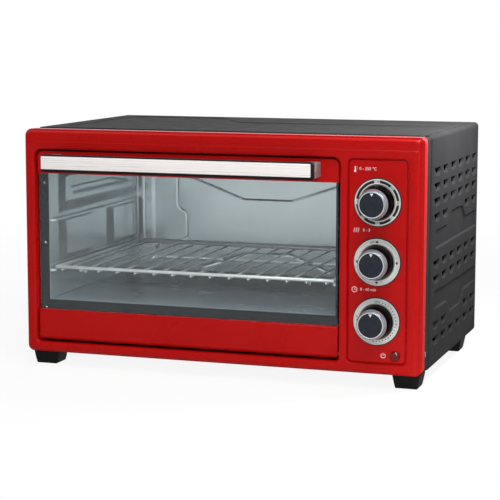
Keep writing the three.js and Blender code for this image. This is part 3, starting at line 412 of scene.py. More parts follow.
# Foil stamped on the knob: bright silver
stampedFoil = surfaceFinish("stamped_silver_foil", ("#EDEDEF", "#E2E3E5"), patch=3, rough=(0.2, 0.3),
    grain=0.6, relief=0.002, shader={"Metallic": 0.3})
# Screen inks: flat black and flat white, a touch uneven; the black one also paints the shadow round each dial
blackInkAndShadow = surfaceFinish("black_ink_and_painted_shadow", ("#17181A", "#202124"), patch=4, rough=(0.45, 0.55),
    grain=0.5, relief=0.004, shader={"IOR": 1.48})
whiteInk = surfaceFinish("white_screen_ink", ("#E9DAD8", "#F2E9E7"), patch=4, rough=(0.45, 0.55),
    grain=0.5, relief=0.004, shader={"IOR": 1.48})
# Brushed stainless strip of the handle: hair lines run along X, coarser than the real 0.05 mm so that they
# show
brushedStainless = surfaceFinish("brushed_stainless_steel", ("#FFFAF8", "#F8F2F0"), patch=1.2,
    rough=(0.26, 0.34), smudge=1.0, grain=0.7, relief=0.003, stretch=(0.012, 1, 1), shader={"Metallic": 0.25})
# Cast handle posts: grey satin metal paint
castGrey = surfaceFinish("silver_painted_casting", ("#A4A6A8", "#B0B2B4"), patch=6, rough=(0.3, 0.4),
    grain=0.8, relief=0.008, shader={"Metallic": 0.35})
# Moulded black plastic of handle bar, feet and gland: satin black with a fine spark-eroded grain
mouldedBlack = surfaceFinish("moulded_black_plastic", ("#101010", "#161617"), patch=15, rough=(0.38, 0.5),
    grain=0.9, relief=0.01, shader={"IOR": 1.5, "Specular IOR Level": 0.3})
# Red polycarbonate lamp cover: dark ruby, very smooth
rubyLens = surfaceFinish("ruby_polycarbonate", ("#5E0A0C", "#720E10"), patch=5, rough=(0.05, 0.1),
    grain=2.0, relief=0.004, shader={"IOR": 1.58, "Coat Weight": 0.5, "Coat Roughness": 0.03})
# Turned steel of shafts, hinge pins and screws: bright zinc plating
zincPlating = surfaceFinish("bright_zinc_plated_steel", ("#BDBFC0", "#A9ACAE"), patch=5, rough=(0.22, 0.36),
    grain=0.7, relief=0.01, shader={"Metallic": 1.0})
# Pressed thermoset of the switch bodies: warm cream, dull
creamThermoset = surfaceFinish("cream_thermoset", ("#CDBFA0", "#C3B493"), patch=10, rough=(0.5, 0.6),
    grain=1.0, relief=0.02, shader={"IOR": 1.55})
# Glazed ceramic of the terminal block: off-white
glazedCeramic = surfaceFinish("glazed_ceramic", ("#E2DED2", "#D8D3C6"), patch=8, rough=(0.15, 0.25),
    grain=2.0, relief=0.01, shader={"IOR": 1.52})


# Spun aluminium of a dial: rings round its centre, which tone, roughness and a slight relief follow. They are
# 0.5 mm apart, coarser than the real ones, so that they show.
def spunAluminium(name, centreX, centreZ):
    finish, tree, place = emptyFinish(name)
    offset = (-centreX * mm, 0, -centreZ * mm)
    centred = addNode(tree, "VectorMath", {0: place, 1: offset}, operation="ADD")[0]
    flat = addNode(tree, "VectorMath", {0: centred, 1: (1, 0, 1)}, operation="MULTIPLY")[0]
    radius = addNode(tree, "VectorMath", {0: flat}, operation="LENGTH")["Value"]
    noise = {"W": radius, "Scale": metre / 0.5, "Detail": 2.0}
    rings = addNode(tree, "TexNoise", noise, noise_dimensions="1D")["Fac"]
    between = {"Value": rings, "From Min": 0.3, "From Max": 0.7, "To Min": 0.28, "To Max": 0.42}
    roughness = addNode(tree, "MapRange", between)[0]
    first, second = linearColour("#E2E2E0"), linearColour("#EEEDEA")
    tone = addNode(tree, "Mix", {0: rings, 6: first, 7: second}, data_type="RGBA")[2]
    bump = addNode(tree, "Bump", {"Height": rings, "Strength": 0.25, "Distance": 0.004 * mm})[0]
    along = addNode(tree, "VectorMath", {0: flat, 1: (0, 1, 0)}, operation="CROSS_PRODUCT")[0]
    along = addNode(tree, "VectorMath", {0: along}, operation="NORMALIZE")[0]
    skin = {"Base Color": tone, "Metallic": 0.4, "Roughness": roughness, "Anisotropic": 0.7, "Tangent": along}
    skin["Normal"] = bump
    addNode(tree, "OutputMaterial", {"Surface": addNode(tree, "BsdfPrincipled", skin)[0]})
    return finish


# Toughened float glass of the door: clear, faint grey-green, with a thin uneven film, and lamp rays pass
# straight through
doorGlass, tree, place = emptyFinish("toughened_float_glass")
glassColour = linearColour("#F2F6F6")
film = addNode(tree, "TexNoise", {"Vector": place, "Scale": metre / 70, "Detail": 2.0})["Fac"]
rough = addNode(tree, "MapRange", {"Value": film, "To Min": 0.0, "To Max": 0.02})[0]
pane = {"Base Color": glassColour, "Roughness": rough, "IOR": 1.5, "Specular IOR Level": 0.15}
glass = addNode(tree, "BsdfPrincipled", {**pane, "Transmission Weight": 1.0})[0]
clear = addNode(tree, "BsdfTransparent", {"Color": glassColour})[0]
lampRay = addNode(tree, "LightPath")["Is Shadow Ray"]
addNode(tree, "OutputMaterial", {"Surface": addNode(tree, "MixShader", {0: lampRay, 1: glass, 2: clear})[0]})
print("finishes made")

# Cabinet shell

shell = {
    "side": 240.0, "low": 16.5, "high": 281.5, "corner": 5.0, "front": -123.2, "back": 166.5, "wall": 0.8,
    "bandInset": 1.2, "bandBack": -103.2, "bandStep": 2.6, "hem": 0.5, "hemLength": 1.0, "returnEnd": 228.0,
    "topLap": 3.0, "panelSink": 0.9, "panelSlope": 3.0, "fieldSink": 2.0, "fieldSlope": 1.4, "fieldFade": 3.0,
    "panel": [(-217, 67), (-217, 289), (-88, 289), (-64, 247), (-42, 210), (210, 210), (210, 67)],
    "fields": [
        [(69, 135), (69, 157), (135, 157), (157, 171), (219, 170), (235, 156), (311, 155), (311, 135)],
        [(66, 87), (304, 84), (305, 65), (236, 64), (216, 50), (155, 50), (135, 65), (67, 66)],
    ],
}
louvre = {
    "rows": [(30.7, 6), (48.2, 4), (101.2, 6), (118.6, 6), (171.9, 4), (189.6, 6), (206.6, 6), (224.0, 6)],
    "columns": 6, "gaps": (2, 3), "first": 76.0, "pitch": 42.4, "length": 27.0, "above": 3.4, "below": 6.0,
    "sink": 3.3, "steep": 1.9, "endPower": 3.4, "rimPower": 2.6, "slit": 1.4, "edge": 0.05, "mouth": 6.8,
    "openShare": 0.8,
}


# Louvre middles as (y, z) in the part's frame; a row of four leaves out the columns of the gaps.
def louvrePlaces():
    return [(louvre["first"] + column * louvre["pitch"] - bodyFront, rise + bodyFoot)
        for rise, count in louvre["rows"] for column in range(louvre["columns"])
        if count == louvre["columns"] or column not in louvre["gaps"]]


# Depth of the pressed louvres: a D with its straight side at the slit, level inside and eased up to its
# round rim.
def louvreDepth(y, z):
    depth = np.zeros(np.broadcast(y, z).shape)
    for centreY, centreZ in louvrePlaces():
        slitZ = centreZ + louvre["above"]
        along = np.abs(y - centreY) / (louvre["length"] / 2)
        down = np.abs(slitZ - z) / (louvre["above"] + louvre["below"])
        bowl = eased(louvre["steep"] * (1 - along ** louvre["endPower"] - down ** louvre["rimPower"]))
        depth = np.maximum(depth, np.where(z <= slitZ + hair, louvre["sink"] * bowl, 0))
    return depth


# Two pressed fields between the louvre rows, sunk by a level step with eased edges, which fade before the
# back.
def sideFieldDepth(y, z):
    depth = np.zeros(np.broadcast(y, z).shape)
    for field in shell["fields"]:
        inside = insidePolygon(y + bodyFront, z - bodyFoot, field)
        depth = np.maximum(depth, shell["fieldSink"] * eased(inside / shell["fieldSlope"]))
    return depth * eased((shell["back"] - shell["fieldFade"] - y) / shell["fieldFade"])


# How far the skin stands in at its ends: the front band by its inset, which steps out to the full size at the
# band's back, and the rear edge by its rolled hem.
def endInset(y):
    band = shell["bandInset"] * (1 - eased((y - shell["bandBack"]) / shell["bandStep"]))
    return band + shell["hem"] * np.clip((y - shell["back"]) / shell["hemLength"] + 1, 0, 1) ** 2


# Side of the shell: the section (foot return, corner, wall, corner, a strip of the top) carried along y, each
# point moved in by the depths. Cells on a slit, and at the bottom of a louvre's mouth, are left open.
def shellSide(side):
    low, high, corner, back = (shell[key] for key in ("low", "high", "corner", "back"))
    mouth, edge = louvre["mouth"], louvre["edge"]
    slits = sorted({z + louvre["above"] for y, z in louvrePlaces()})
    marks, steps = [low + corner], []
    for slitZ in slits:
        rim = slitZ - louvre["above"] - louvre["below"] - 0.6
        marks += [rim, slitZ - mouth, slitZ, slitZ + edge, slitZ + louvre["slit"]]
        steps += [1.2, 0.7, 0.75, edge, 0.7]
    wallZ = steppedPlaces(marks + [high - corner], steps + [1.6])
    bend = np.linspace(0, math.pi / 2, 11)[1:]
    turn = np.concatenate([[-math.pi / 2] * 2, bend[:-1] - math.pi / 2, 0 * wallZ, bend, [math.pi / 2]])
    normalX, normalZ = np.cos(turn), np.sin(turn)
    sectionX = shell["side"] - corner + corner * normalX
    sectionX[0] = shell["returnEnd"]
    sectionX[-1] -= shell["topLap"]
    corners = np.full(len(bend) + 1, corner)
    sectionZ = np.concatenate([low + corners, wallZ, high - corners]) + corner * normalZ
    marks = [shell["front"], shell["bandBack"], shell["bandBack"] + shell["bandStep"], -80, back - 1.5, back]
    y = steppedPlaces(marks, [7, 0.5, 6, 1.5, 0.5])
    gridY, gridZ = np.meshgrid(y, sectionZ, indexing="ij")
    pressed = louvreDepth(gridY, gridZ) + sideFieldDepth(gridY, gridZ)
    depth = endInset(gridY) + np.where(turn == 0, pressed, 0)
    points = setOnAxis(side * (sectionX - normalX * depth), gridY, sectionZ - normalZ * depth, "z")
    faces = np.array(gridFaces(len(y), len(turn)))
    cellDepth, cellZ = depth.reshape(-1)[faces], gridZ.reshape(-1)[faces]
    cellLow, cellHigh = cellZ.min(1), cellZ.max(1)
    opened = (np.ptp(cellDepth, 1) > 1.0) & (cellHigh - cellLow < edge + hair)
    deep = cellDepth.min(1) > louvre["openShare"] * louvre["sink"]
    for slitZ in slits:
        opened |= deep & (cellLow > slitZ - mouth - hair) & (cellHigh < slitZ + hair)
    faces = faces[~opened].tolist()
    return points, flipped(faces) if side > 0 else faces


# Top of the shell: a level grid with a shallow sunk panel, and the same front band and rear hem.
def shellTop():
    end, back = shell["side"] - shell["corner"] - shell["topLap"], shell["back"]
    x = steppedPlaces([-end, -200, -80, -30, end], [1.6, 8, 1.8, 8])
    marks = [shell["front"], shell["bandBack"], shell["bandBack"] + shell["bandStep"]]
    y = steppedPlaces(marks + [-84, -60, 50, back - 1.5, back], [7, 0.5, 6, 1.8, 8, 1.8, 0.5])
    gridX, gridY = np.meshgrid(x, y, indexing="ij")
    inside = insidePolygon(gridX, gridY + bodyFront, shell["panel"])
    z = shell["high"] - endInset(gridY) - shell["panelSink"] * eased(inside / shell["panelSlope"])
    return setOnAxis(gridX, gridY, z, "z"), flipped(gridFaces(len(x), len(y)))


for name, surface in (("left_side", shellSide(-1)), ("right_side", shellSide(1)), ("top", shellTop())):
    wall = shell["wall"]
    makePiece("shell_" + name, [surface], blackPowderCoat, "outer_shell", wall=wall, sharp=40)
print("shell made")

# Rear panel

rear = {
    "outline": roundRect(-238.9, 238.9, 17.6, 280.4, 3.9), "border": 8.0, "front": 164.7, "back": 165.5,
    "field": (-198.9, 198.9, 92.6, 250.4), "slope": 5.0, "sink": 4.0,
    "ventRows": (165.5, 177.5), "ventPitch": 42.0, "ventCount": 8, "vent": (26.0, 4.0),
}


# Grid places of the rear sheet in one direction: its border, the slope of its field, and both ends of each
# slot.
def rearPlaces(low, high, fieldLow, fieldHigh, slots, length, steps):
    marks = [low + rear["border"], fieldLow - 3, fieldLow + 9]
    marks += [slot + half for slot in slots for half in (-length / 2, length / 2)]
    return steppedPlaces(marks + [fieldHigh - 9, fieldHigh + 3, high - rear["border"]], steps)


# Rear panel: a grid sunk in its middle field, with its cells left out at the slots, and a flat border round
# it.
def rearSheet():
    count, (length, height) = rear["ventCount"], rear["vent"]
    left, right, low, high = rear["field"]
    outline = rear["outline"]
    slotX = (np.arange(count) - (count - 1) / 2) * rear["ventPitch"]
    slotZ = np.array(rear["ventRows"])
    x = rearPlaces(*outline[:2], left, right, slotX, length, [6, 1.5] + [3, 3.25] * count + [3, 1.5, 6])
    z = rearPlaces(*outline[2:4], low, high, slotZ, height, [6, 1.5, 6, 1, 2, 1, 6, 1.5, 6])
    gridX, gridZ = np.meshgrid(x, z, indexing="ij")
    edge = np.minimum.reduce([gridX - left, right - gridX, gridZ - low, high - gridZ])
    points = setOnAxis(gridX, gridZ, rear["back"] - rear["sink"] * eased(edge / rear["slope"]))
    faces = np.array(gridFaces(len(x), len(z)))
    middleX, middleZ = (grid.reshape(-1)[faces].mean(1)[:, None] for grid in (gridX, gridZ))
    inSlot = (abs(middleX - slotX) < length / 2).any(1) & (abs(middleZ - slotZ) < height / 2).any(1)
    sides = [(x[0], z[:0:-1]), (x[:-1], z[0]), (x[-1], z[:-1]), (x[:0:-1], z[-1])]
    inner = np.concatenate([np.stack(np.broadcast_arrays(*side), -1) for side in sides])
    border, borderFaces = flatFill([cornerRing(outline, 0, 8), inner], rear["back"])
    return [(points, faces[~inSlot].tolist()), (border, flipped(borderFaces))]


wall = rear["back"] - rear["front"]
makePiece("rear_panel_sheet", rearSheet(), blackPowderCoat, "rear_panel", wall=wall)
print("rear panel made")

# Red front

bezel = {
    "outer": roundRect(-240.0, 240.0, 16.5, 281.5, 7.5, 9.0, 6.0, 8.5, stops=(266.4, 267.7)), "wall": 1.6,
    "rightShare": 2.1, "back": -123.5, "skirt": -130.0, "front": -143.5, "leastRadius": 0.4, "bevel": 5.0,
    "bevelDepth": 6.8, "crease": 266.4, "creaseWidth": 1.3, "creaseDepth": 0.8, "creaseReach": 8.0,
    "ledge": [(0, 0.8), (0.12, 0.3), (0.4, 0), (0.9, -0.15), (1.4, -0.3), (1.65, -0.6)],
    "brow": [(-1.7, 1.1), (-1.1, 0.4), (-0.6, 0.1), (0, 0)],
    "holes": [  # doorway and window: outline, fillet, and the places along their walls from the back
        (roundRect(-225.5, 145.8, 29.0, 258.0, 5.5, 5.5, 9.0, 9.0), 2.8, (-126.5, -134)),
        (roundRect(155.1, 222.9, 29.6, 257.4, 5.4), 2.1, (-141.2,)),
    ],
}


# Above the crease the front stands back a little; the step is as wide as the crease, and only near the
# front face.
def stepBack(points):
    near = np.clip((bezel["front"] + bezel["creaseReach"] - points[:, 1]) / bezel["creaseReach"], 0, 1)
    above = eased((points[:, 2] - bezel["crease"]) / bezel["creaseWidth"])
    points[:, 1] += bezel["creaseDepth"] * near * above
    return points


# One ring of the front's edge: the band at the right is wider than the others by its share.
def edgeRing(inset):
    left, right, low, high, radii, stops = bezel["outer"]
    radii = [max(radius - inset, bezel["leastRadius"]) for radius in radii]
    right -= bezel["rightShare"] * inset
    return cornerRing((left + inset, right, low + inset, high - inset, radii, stops), 0, 12)


# Front moulding: side wall, narrow ledge and slope round the edge, a flat land cut by doorway and window, and
# the rounded edges of these two, each a quarter circle and a wall behind it.
def bezelSurfaces():
    front, edge = bezel["front"], bezel["front"] + bezel["bevelDepth"]
    profile = [(0, bezel["back"]), (0, bezel["skirt"])]
    profile += [(inset, edge + rise) for inset, rise in bezel["ledge"]]
    profile += [(bezel["bevel"] + inset, front + rise) for inset, rise in bezel["brow"]]
    rings = [edgeRing(inset) for inset, along in profile]
    surfaces = [joinedRings(rings, [along for inset, along in profile], capped=False)]
    ring, creaseLow, creaseHigh = rings[-1], bezel["crease"], bezel["crease"] + bezel["creaseWidth"]
    up, slack = ring[:, 1], 1e-6
    lower, upper = ring[up <= creaseLow + slack], ring[up >= creaseHigh - slack]
    between = ring[(up >= creaseLow - slack) & (up <= creaseHigh + slack)]
    holes = [cornerRing(hole, -fillet, 8) for hole, fillet, walls in bezel["holes"]]
    surfaces += [flatFill(loops, front) for loops in ([lower, *holes], [between], [upper])]
    for hole, fillet, walls in bezel["holes"]:
        profile = [(0, along) for along in walls]
        for q in np.linspace(0, math.pi / 2, 7):
            profile.append((-fillet * (1 - math.cos(q)), front + fillet * (1 - math.sin(q))))
        points, faces = carriedRound(hole, profile, 8, capped=False)
        surfaces.append((points, flipped(faces)))
    return [(stepBack(points), faces) for points, faces in surfaces]


wall = bezel["wall"]
makePiece("bezel_moulding", bezelSurfaces(), redLacquer, "front_bezel", wall=wall, sharp=26)

fascia = {
    "pad": roundRect(156.0, 222.0, 30.5, 256.5, 4.6), "flange": roundRect(153.2, 224.8, 27.7, 259.3, 7.0),
    "front": -141.8, "flangeFront": -140.4, "back": -137.2, "padRound": 1.7, "edgeRound": 0.2,
}
edgeRound = fascia["edgeRound"]
padProfile = roundedEnds(fascia["back"], fascia["front"], edgeRound, fascia["padRound"], 6)
flangeProfile = roundedEnds(fascia["back"], fascia["flangeFront"], edgeRound, edgeRound, 2)
plates = [carriedRound(fascia["pad"], padProfile, 8), carriedRound(fascia["flange"], flangeProfile, 8)]
makePiece("fascia_pad", plates, redLacquer, "control_fascia")
print("front made")

# Door

door = {
    "left": -223.5, "right": 143.8, "front": -139.5, "back": -129.5, "fillet": 1.1,
    "insets": (0, 0.1, 0.25, 0.5, 0.8, 1.1, 1.7, 2.4, 3.2, 4.1, 5.0),
    "rails": {  # low, high, corner radii and bullnose
        "top": (229.6, 256.0, (0.4, 0.4, 7.0, 7.0), 1.1), "bottom": (31.5, 67.5, (3.0, 3.0, 0.4, 0.4), 5.0),
    },
}


# How far a face drops behind its front at an inset from its edge, where a quarter circle rounds that edge.
def edgeDrop(radius, inset):
    return radius - np.sqrt(np.clip(radius ** 2 - np.clip(radius - inset, 0, None) ** 2, 0, None))


# Rail of the door: rings move inwards, and the front face drops back by a quarter circle whose radius grows
# towards the lower edge, from the fillet's to the bullnose's.
def railSurface(low, high, radii, bullnose):
    shape = roundRect(door["left"], door["right"], low, high, *radii)
    base = cornerRing(shape, 0, 6)
    pull = cornerRing(shape, 2.9, 6) - base
    downward = np.clip(pull[:, 1] / np.maximum(np.hypot(*pull.T), 1e-6), 0, 1) ** 2
    rings, places = [base], [door["back"]]
    for inset in door["insets"]:
        rings.append(cornerRing(shape, inset, 6))
        drop = downward * edgeDrop(bullnose, inset) + (1 - downward) * edgeDrop(door["fillet"], inset)
        places.append(door["front"] + drop)
    return joinedRings(rings, places)


for name, rail in door["rails"].items():
    node = "door_%s_rail" % name
    makePiece("door_rail_" + name, [railSurface(*rail)], redLacquer, node, "door")

handle = {
    "bar": (roundRect(-204.5, 123.0, 234.1, 254.1, 2.2), roundedEnds(-162.5, -171.1, 2.0, 1.2), 5),
    "strip": (roundRect(-203.2, 120.5, 237.5, 252.4, 0.8), roundedEnds(-171.2, -172.5, 0.1, 0.6), 4),
    "posts": {"left": -204.5, "right": 110.0}, "postWidth": 13.0, "postLow": 235.6, "postHigh": 252.6,
    "postRadius": 1.6, "postProfile": roundedEnds(-139.8, -162.2, 0.3, 0.3),
}
bar, strip = carriedRound(*handle["bar"]), carriedRound(*handle["strip"])
makePiece("handle_bar_moulding", [bar], mouldedBlack, "handle_bar", "door")
makePiece("handle_trim_strip", [strip], brushedStainless, "handle_plate", "door")
for name, left in handle["posts"].items():
    right, low, high = left + handle["postWidth"], handle["postLow"], handle["postHigh"]
    post = carriedRound(roundRect(left, right, low, high, handle["postRadius"]), handle["postProfile"], 4)
    makePiece("handle_arm_" + name, [post], castGrey, "handle_post_" + name, "door")
print("door made")

# Cavity

cavity = {
    "left": -216.5, "right": 136.8, "front": -122.1, "rear": 146.5, "floor": 78.5, "roof": 248.5, "wall": 0.6,
    "low": 19.9, "ledges": (77.6, 113.06, 173.07), "ledgeReach": 5.4, "ledgeHeight": 2.4, "ledgeUnder": 0.8,
    "ledgeOver": 0.6, "fields": [
        {"box": (48, 285, 162.5, 211), "slopes": (10.5, 5, 12.5, 6), "depth": 4.5},
        {"box": (47, 141.5, 104, 156), "slopes": (13.5, 6, 4, 3.8), "depth": 4.5},
        {"box": (191, 281, 104, 156), "slopes": (13.5, 5, 4, 3.8), "depth": 4.5},
    ],
    "slot": [(72.5, 192.5), (81.5, 181.5), (277.5, 181.5), (191, 193)], "slotDepth": 3.6, "slotSlope": 3.0,
    "backLines": [
        [(-150, 190), (-132, 184), (-65, 159), (3, 159), (59, 178), (120, 196)],
        [(-157, 226), (-157, 147), (-153, 143), (-147, 140), (-144, 135), (-144, 106), (-148, 103)],
        [(-119, 68), (-61, 87), (-1, 88), (53, 68)],
        [(-157, 101), (-157, 62)],
    ],
    "backLineWidth": 2.2, "backLineHeight": 0.7,
    "backFolds": [(-212.5, 3.4, 1.5), (-204.5, 4.2, 1.7)],  # x, width and height beside the left wall
    "backField": (-194, 118, 90.5, 242), "backSink": 2.2, "backSlope": 4.0,
    "floorMark": [(68, 24), (84, 38), (104, 40), (122, 56)], "markWidth": 3.2, "markDepth": 0.9,
    "floorSag": 0.35, "floorDepth": 268, "floorWidth": 353,
    "roofBeads": (-20, 45), "beadEnds": (-190, 114), "beadWidth": 9, "beadHeight": 1.6,
}


# Side wall of the cavity: a grid in y and z, pressed inwards in three fields, one with a sunk slot, and
# further in at its rack ledges.
def cavitySide(side):
    height, under, over = cavity["ledgeHeight"], cavity["ledgeUnder"], cavity["ledgeOver"]
    parts = [steppedPlaces([cavity["low"], 70, 100, cavity["roof"] - 0.4], [6, 2.5, 1.7])]
    for top in cavity["ledges"]:
        parts.append(steppedPlaces([top - height - under, top - height, top, top + over], [under, 1.2, over]))
    z = np.unique(np.concatenate(parts))
    y = steppedPlaces([cavity["front"], cavity["rear"] - 0.3], [1.5])
    gridY, gridZ = np.meshgrid(y, z, indexing="ij")
    u, v = gridY + bodyFront, gridZ - bodyFoot
    out = cavity["slotDepth"] * eased(insidePolygon(u, v, cavity["slot"]) / cavity["slotSlope"])
    for field in cavity["fields"]:
        out -= slopedField(u, v, field)
    ends = np.clip(np.minimum(gridY - cavity["front"] - 3, cavity["rear"] - 3.3 - gridY) / 2, 0, 1)
    for top in cavity["ledges"]:
        rise = np.clip((gridZ - top + height + under) / under, 0, 1)
        rise *= np.clip((top + over - gridZ) / over, 0, 1)
        out = np.where(rise > 0, -cavity["ledgeReach"] * rise * ends, out)
    points = setOnAxis(gridY, gridZ, (cavity["left"] if side < 0 else cavity["right"]) + side * out, "x")
    faces = gridFaces(len(y), len(z))
    return points, faces if side > 0 else flipped(faces)


# Back wall: a grid in x and z with thin pressed creases, two upright folds at its left and a pressed middle
# field.
def cavityBack():
    x = steppedPlaces([cavity["left"] - cavity["wall"], cavity["right"] + cavity["wall"]], [1.3])
    z = steppedPlaces([cavity["low"], 74, cavity["roof"] - 0.4], [6, 1.3])
    gridX, gridZ = np.meshgrid(x, z, indexing="ij")
    left, right, low, high = cavity["backField"]
    inside = np.minimum.reduce([gridX - left, right - gridX, gridZ - low, high - gridZ])
    out = cavity["backSink"] * eased(inside / cavity["backSlope"])
    for line in cavity["backLines"]:
        out += crease(gridX, gridZ - bodyFoot, line, cavity["backLineWidth"], cavity["backLineHeight"])
    for foldX, width, height in cavity["backFolds"]:
        out += crease(gridX, gridZ, [(foldX, cavity["low"]), (foldX, cavity["roof"])], width, height)
    return setOnAxis(gridX, gridZ, cavity["rear"] + out), flipped(gridFaces(len(x), len(z)))


# Cavity floor: a grid in x and y that sags a little like a tensioned sheet, with a pressed crease and a
# rolled front edge.
def cavityFloor():
    x = steppedPlaces([cavity["left"] + 0.3, cavity["right"] - 0.3], [2.2])
    y = steppedPlaces([cavity["front"], cavity["front"] + 6, cavity["rear"] - 0.3], [0.6, 2.2])
    gridX, gridY = np.meshgrid(x, y, indexing="ij")
    behind = gridY - cavity["front"]
    lift = -cavity["floorSag"] * np.sin(math.pi * behind / cavity["floorDepth"])
    lift *= np.sin(math.pi * (gridX - cavity["left"]) / cavity["floorWidth"])
    lift -= crease(gridX, behind, cavity["floorMark"], cavity["markWidth"], cavity["markDepth"])
    z = cavity["floor"] + lift * eased(behind / 10) - 1.6 * np.clip(1 - behind / 2.0, 0, 1) ** 2
    return setOnAxis(gridX, gridY, z, "z"), flipped(gridFaces(len(x), len(y)))


# Cavity roof: a level grid with two long stiffening beads.
def cavityRoof():
    x = steppedPlaces([cavity["left"] - cavity["wall"], cavity["right"] + cavity["wall"]], [6])
    y = steppedPlaces([cavity["front"], cavity["rear"] + cavity["wall"]], [2.4])
    gridX, gridY = np.meshgrid(x, y, indexing="ij")
    lines = [[(end, place) for end in cavity["beadEnds"]] for place in cavity["roofBeads"]]
    lift = sum(crease(gridX, gridY, line, cavity["beadWidth"], cavity["beadHeight"]) for line in lines)
    return setOnAxis(gridX, gridY, cavity["roof"] + lift, "z"), gridFaces(len(x), len(y))


sheets = [
    ("side_left", cavitySide(-1), "left_wall"), ("side_right", cavitySide(1), "right_wall"),
    ("back", cavityBack(), "rear_wall"), ("floor_sheet", cavityFloor(), "floor"),
    ("roof_sheet", cavityRoof(), "roof"),
]
wall = cavity["wall"]
for name, surface, node in sheets:
    finish = floorSteel if node == "floor" else aluminisedSteel
    makePiece("cavity_" + name, [surface], finish, "cavity_" + node, wall=wall, sharp=25)

# Three rivets on the mouth's left flange, each a turned head
rivet = {
    "x": -221.5, "rises": (200.8, 129.2, 50.8), "profile": [(0, -123.0), (1.7, -123.0), (1.7, -123.2),
        (1.7, -123.5), (1.3, -123.95), (0.7, -124.15), (0, -124.2)],
}
rivets = [turned(rivet["profile"], (rivet["x"], rise + bodyFoot), 20) for rise in rivet["rises"]]
makePiece("frame_rivets", rivets, zincPlating)

heater = {
    "rows": {"upper": 234.5, "lower": 54.5}, "columns": {"front": -52.1, "rear": 76.5},
    "profile": [
        (0, -228.5), (1.6, -228.5), (2.0, -228.1), (2.0, -223.5), (2.7, -223.4), (3.6, -223.1), (4.0, -222.5),
        (4.0, -220.0), (4.0, 140.3), (4.0, 142.8), (3.6, 143.4), (2.7, 143.7), (2.0, 143.8), (2.0, 148.4),
        (1.6, 148.8), (0, 148.8),
    ],
}
for rowName, z in heater["rows"].items():
    for columnName, y in heater["columns"].items():
        name = "heater_%s_%s" % (rowName, columnName)
        tube = turned(heater["profile"], (y, z), 24, "x")
        makePiece(name + "_tube", [tube], heaterSheath, name)

rack = {
    "left": -210.8, "right": 131.1, "front": -113.9, "rear": 141.3, "z": 115.56, "rod": 2.2, "lap": 1.8,
    "wire": 1.25, "wireZ": 112.51, "first": -203.3, "last": 123.6, "count": 15, "tick": 3.0,
    "drop": 5.0, "span": 7.0, "bend": 2.2, "stopInset": 12.0, "stops": (1, 13),
}


# Rack: a frame of four thick rods, and thin wires under it that run from front to rear, two of which dip as
# stops.
def rackSurfaces():
    left, right, front, back, z, low = (rack[key] for key in ("left", "right", "front", "rear", "z", "wireZ"))
    ends = [((left - rack["lap"], y, z), (right + rack["lap"], y, z)) for y in (front, back)]
    ends += [((x, front, z), (x, back, z)) for x in (left, right)]
    surfaces = [rod(np.linspace(*pair, 3), rack["rod"], 14) for pair in ends]
    stopPlaces, half = (front + rack["stopInset"], back - rack["stopInset"]), rack["span"] / 2
    for index, x in enumerate(np.linspace(rack["first"], rack["last"], rack["count"])):
        start, end = (x, front - rack["tick"], low), (x, back + rack["rod"], low)
        path = np.linspace(start, end, 3)
        if index in rack["stops"]:
            dip = ((-half, 0), (0, rack["drop"]), (half, 0))
            bends = [(x, place + shift, low - fall) for place in stopPlaces for shift, fall in dip]
            path = softPath([start] + bends + [end], rack["bend"])
        surfaces.append(rod(path, rack["wire"], 10))
    return surfaces


makePiece("rack_of_wire", rackSurfaces(), platedWire, "wire_rack", "rack", sharp=60)
print("cavity made")

# Controls

controls = {
    "x": 189.0, "places": {"temperature": 209.8, "function": 143.5, "timer": 77.2}, "steps": 96,
    "dial": [
        (7, -142.1), (25.7, -142.1), (26, -142.4), (26, -143.6), (25.8, -143.85), (25.4, -143.9),
        (24.8, -143.85), (24.55, -143.6), (24.4, -143.35), (24.2, -143.3), (21.6, -143.3), (21.4, -143.55),
        (21.2, -143.6),
        (20.5, -143.6), (20.3, -143.3), (7, -143.3), (7, -142.1),
    ],
    "skirt": [
        (15, -144.7), (19.3, -144.7), (19.7, -144.9), (19.8, -145.3), (19.75, -145.9), (17.25, -161.4),
        (17.0, -162.2), (16.5, -162.65), (15.9, -162.7), (3.2, -162.7), (3.2, -161.2), (14.8, -161.0),
        (15, -160.2), (15, -144.7),
    ],
    "cap": [
        (15.6, -163.0), (16.8, -163.0), (17.0, -163.3), (16.95, -163.9), (16.5, -165.2), (15.95, -167.4),
        (15.55, -169.0), (15.2, -169.8), (14.75, -170.15), (14.3, -170.2), (13.95, -170.05), (13.75, -169.7),
        (13.7, -168.8), (0, -168.8), (0, -166.0), (12, -165.6), (15.6, -163.0),
    ],
    "face": [
        (0, -168.9), (13.2, -168.9), (13.45, -169.1), (13.5, -169.5), (13.35, -169.72), (12.9, -169.8),
        (8, -169.86), (0, -169.9),
    ],
    "rim": [
        (13.7, -170.0), (13.7, -170.25), (13.8, -170.32), (14.25, -170.32), (14.35, -170.25), (14.35, -170.0),
        (13.7, -170.0),
    ],
    "pointer": [(-1.9, 12.6), (1.9, 12.6), (0, 9.2)], "pointerDepths": (-170.12, -169.75),
    "ink": (-143.37, -143.28), "numberRadius": 22.4, "numberSize": 3.0,
}
fasciaInk = (fascia["front"] - 0.07, fascia["front"] + 0.02)


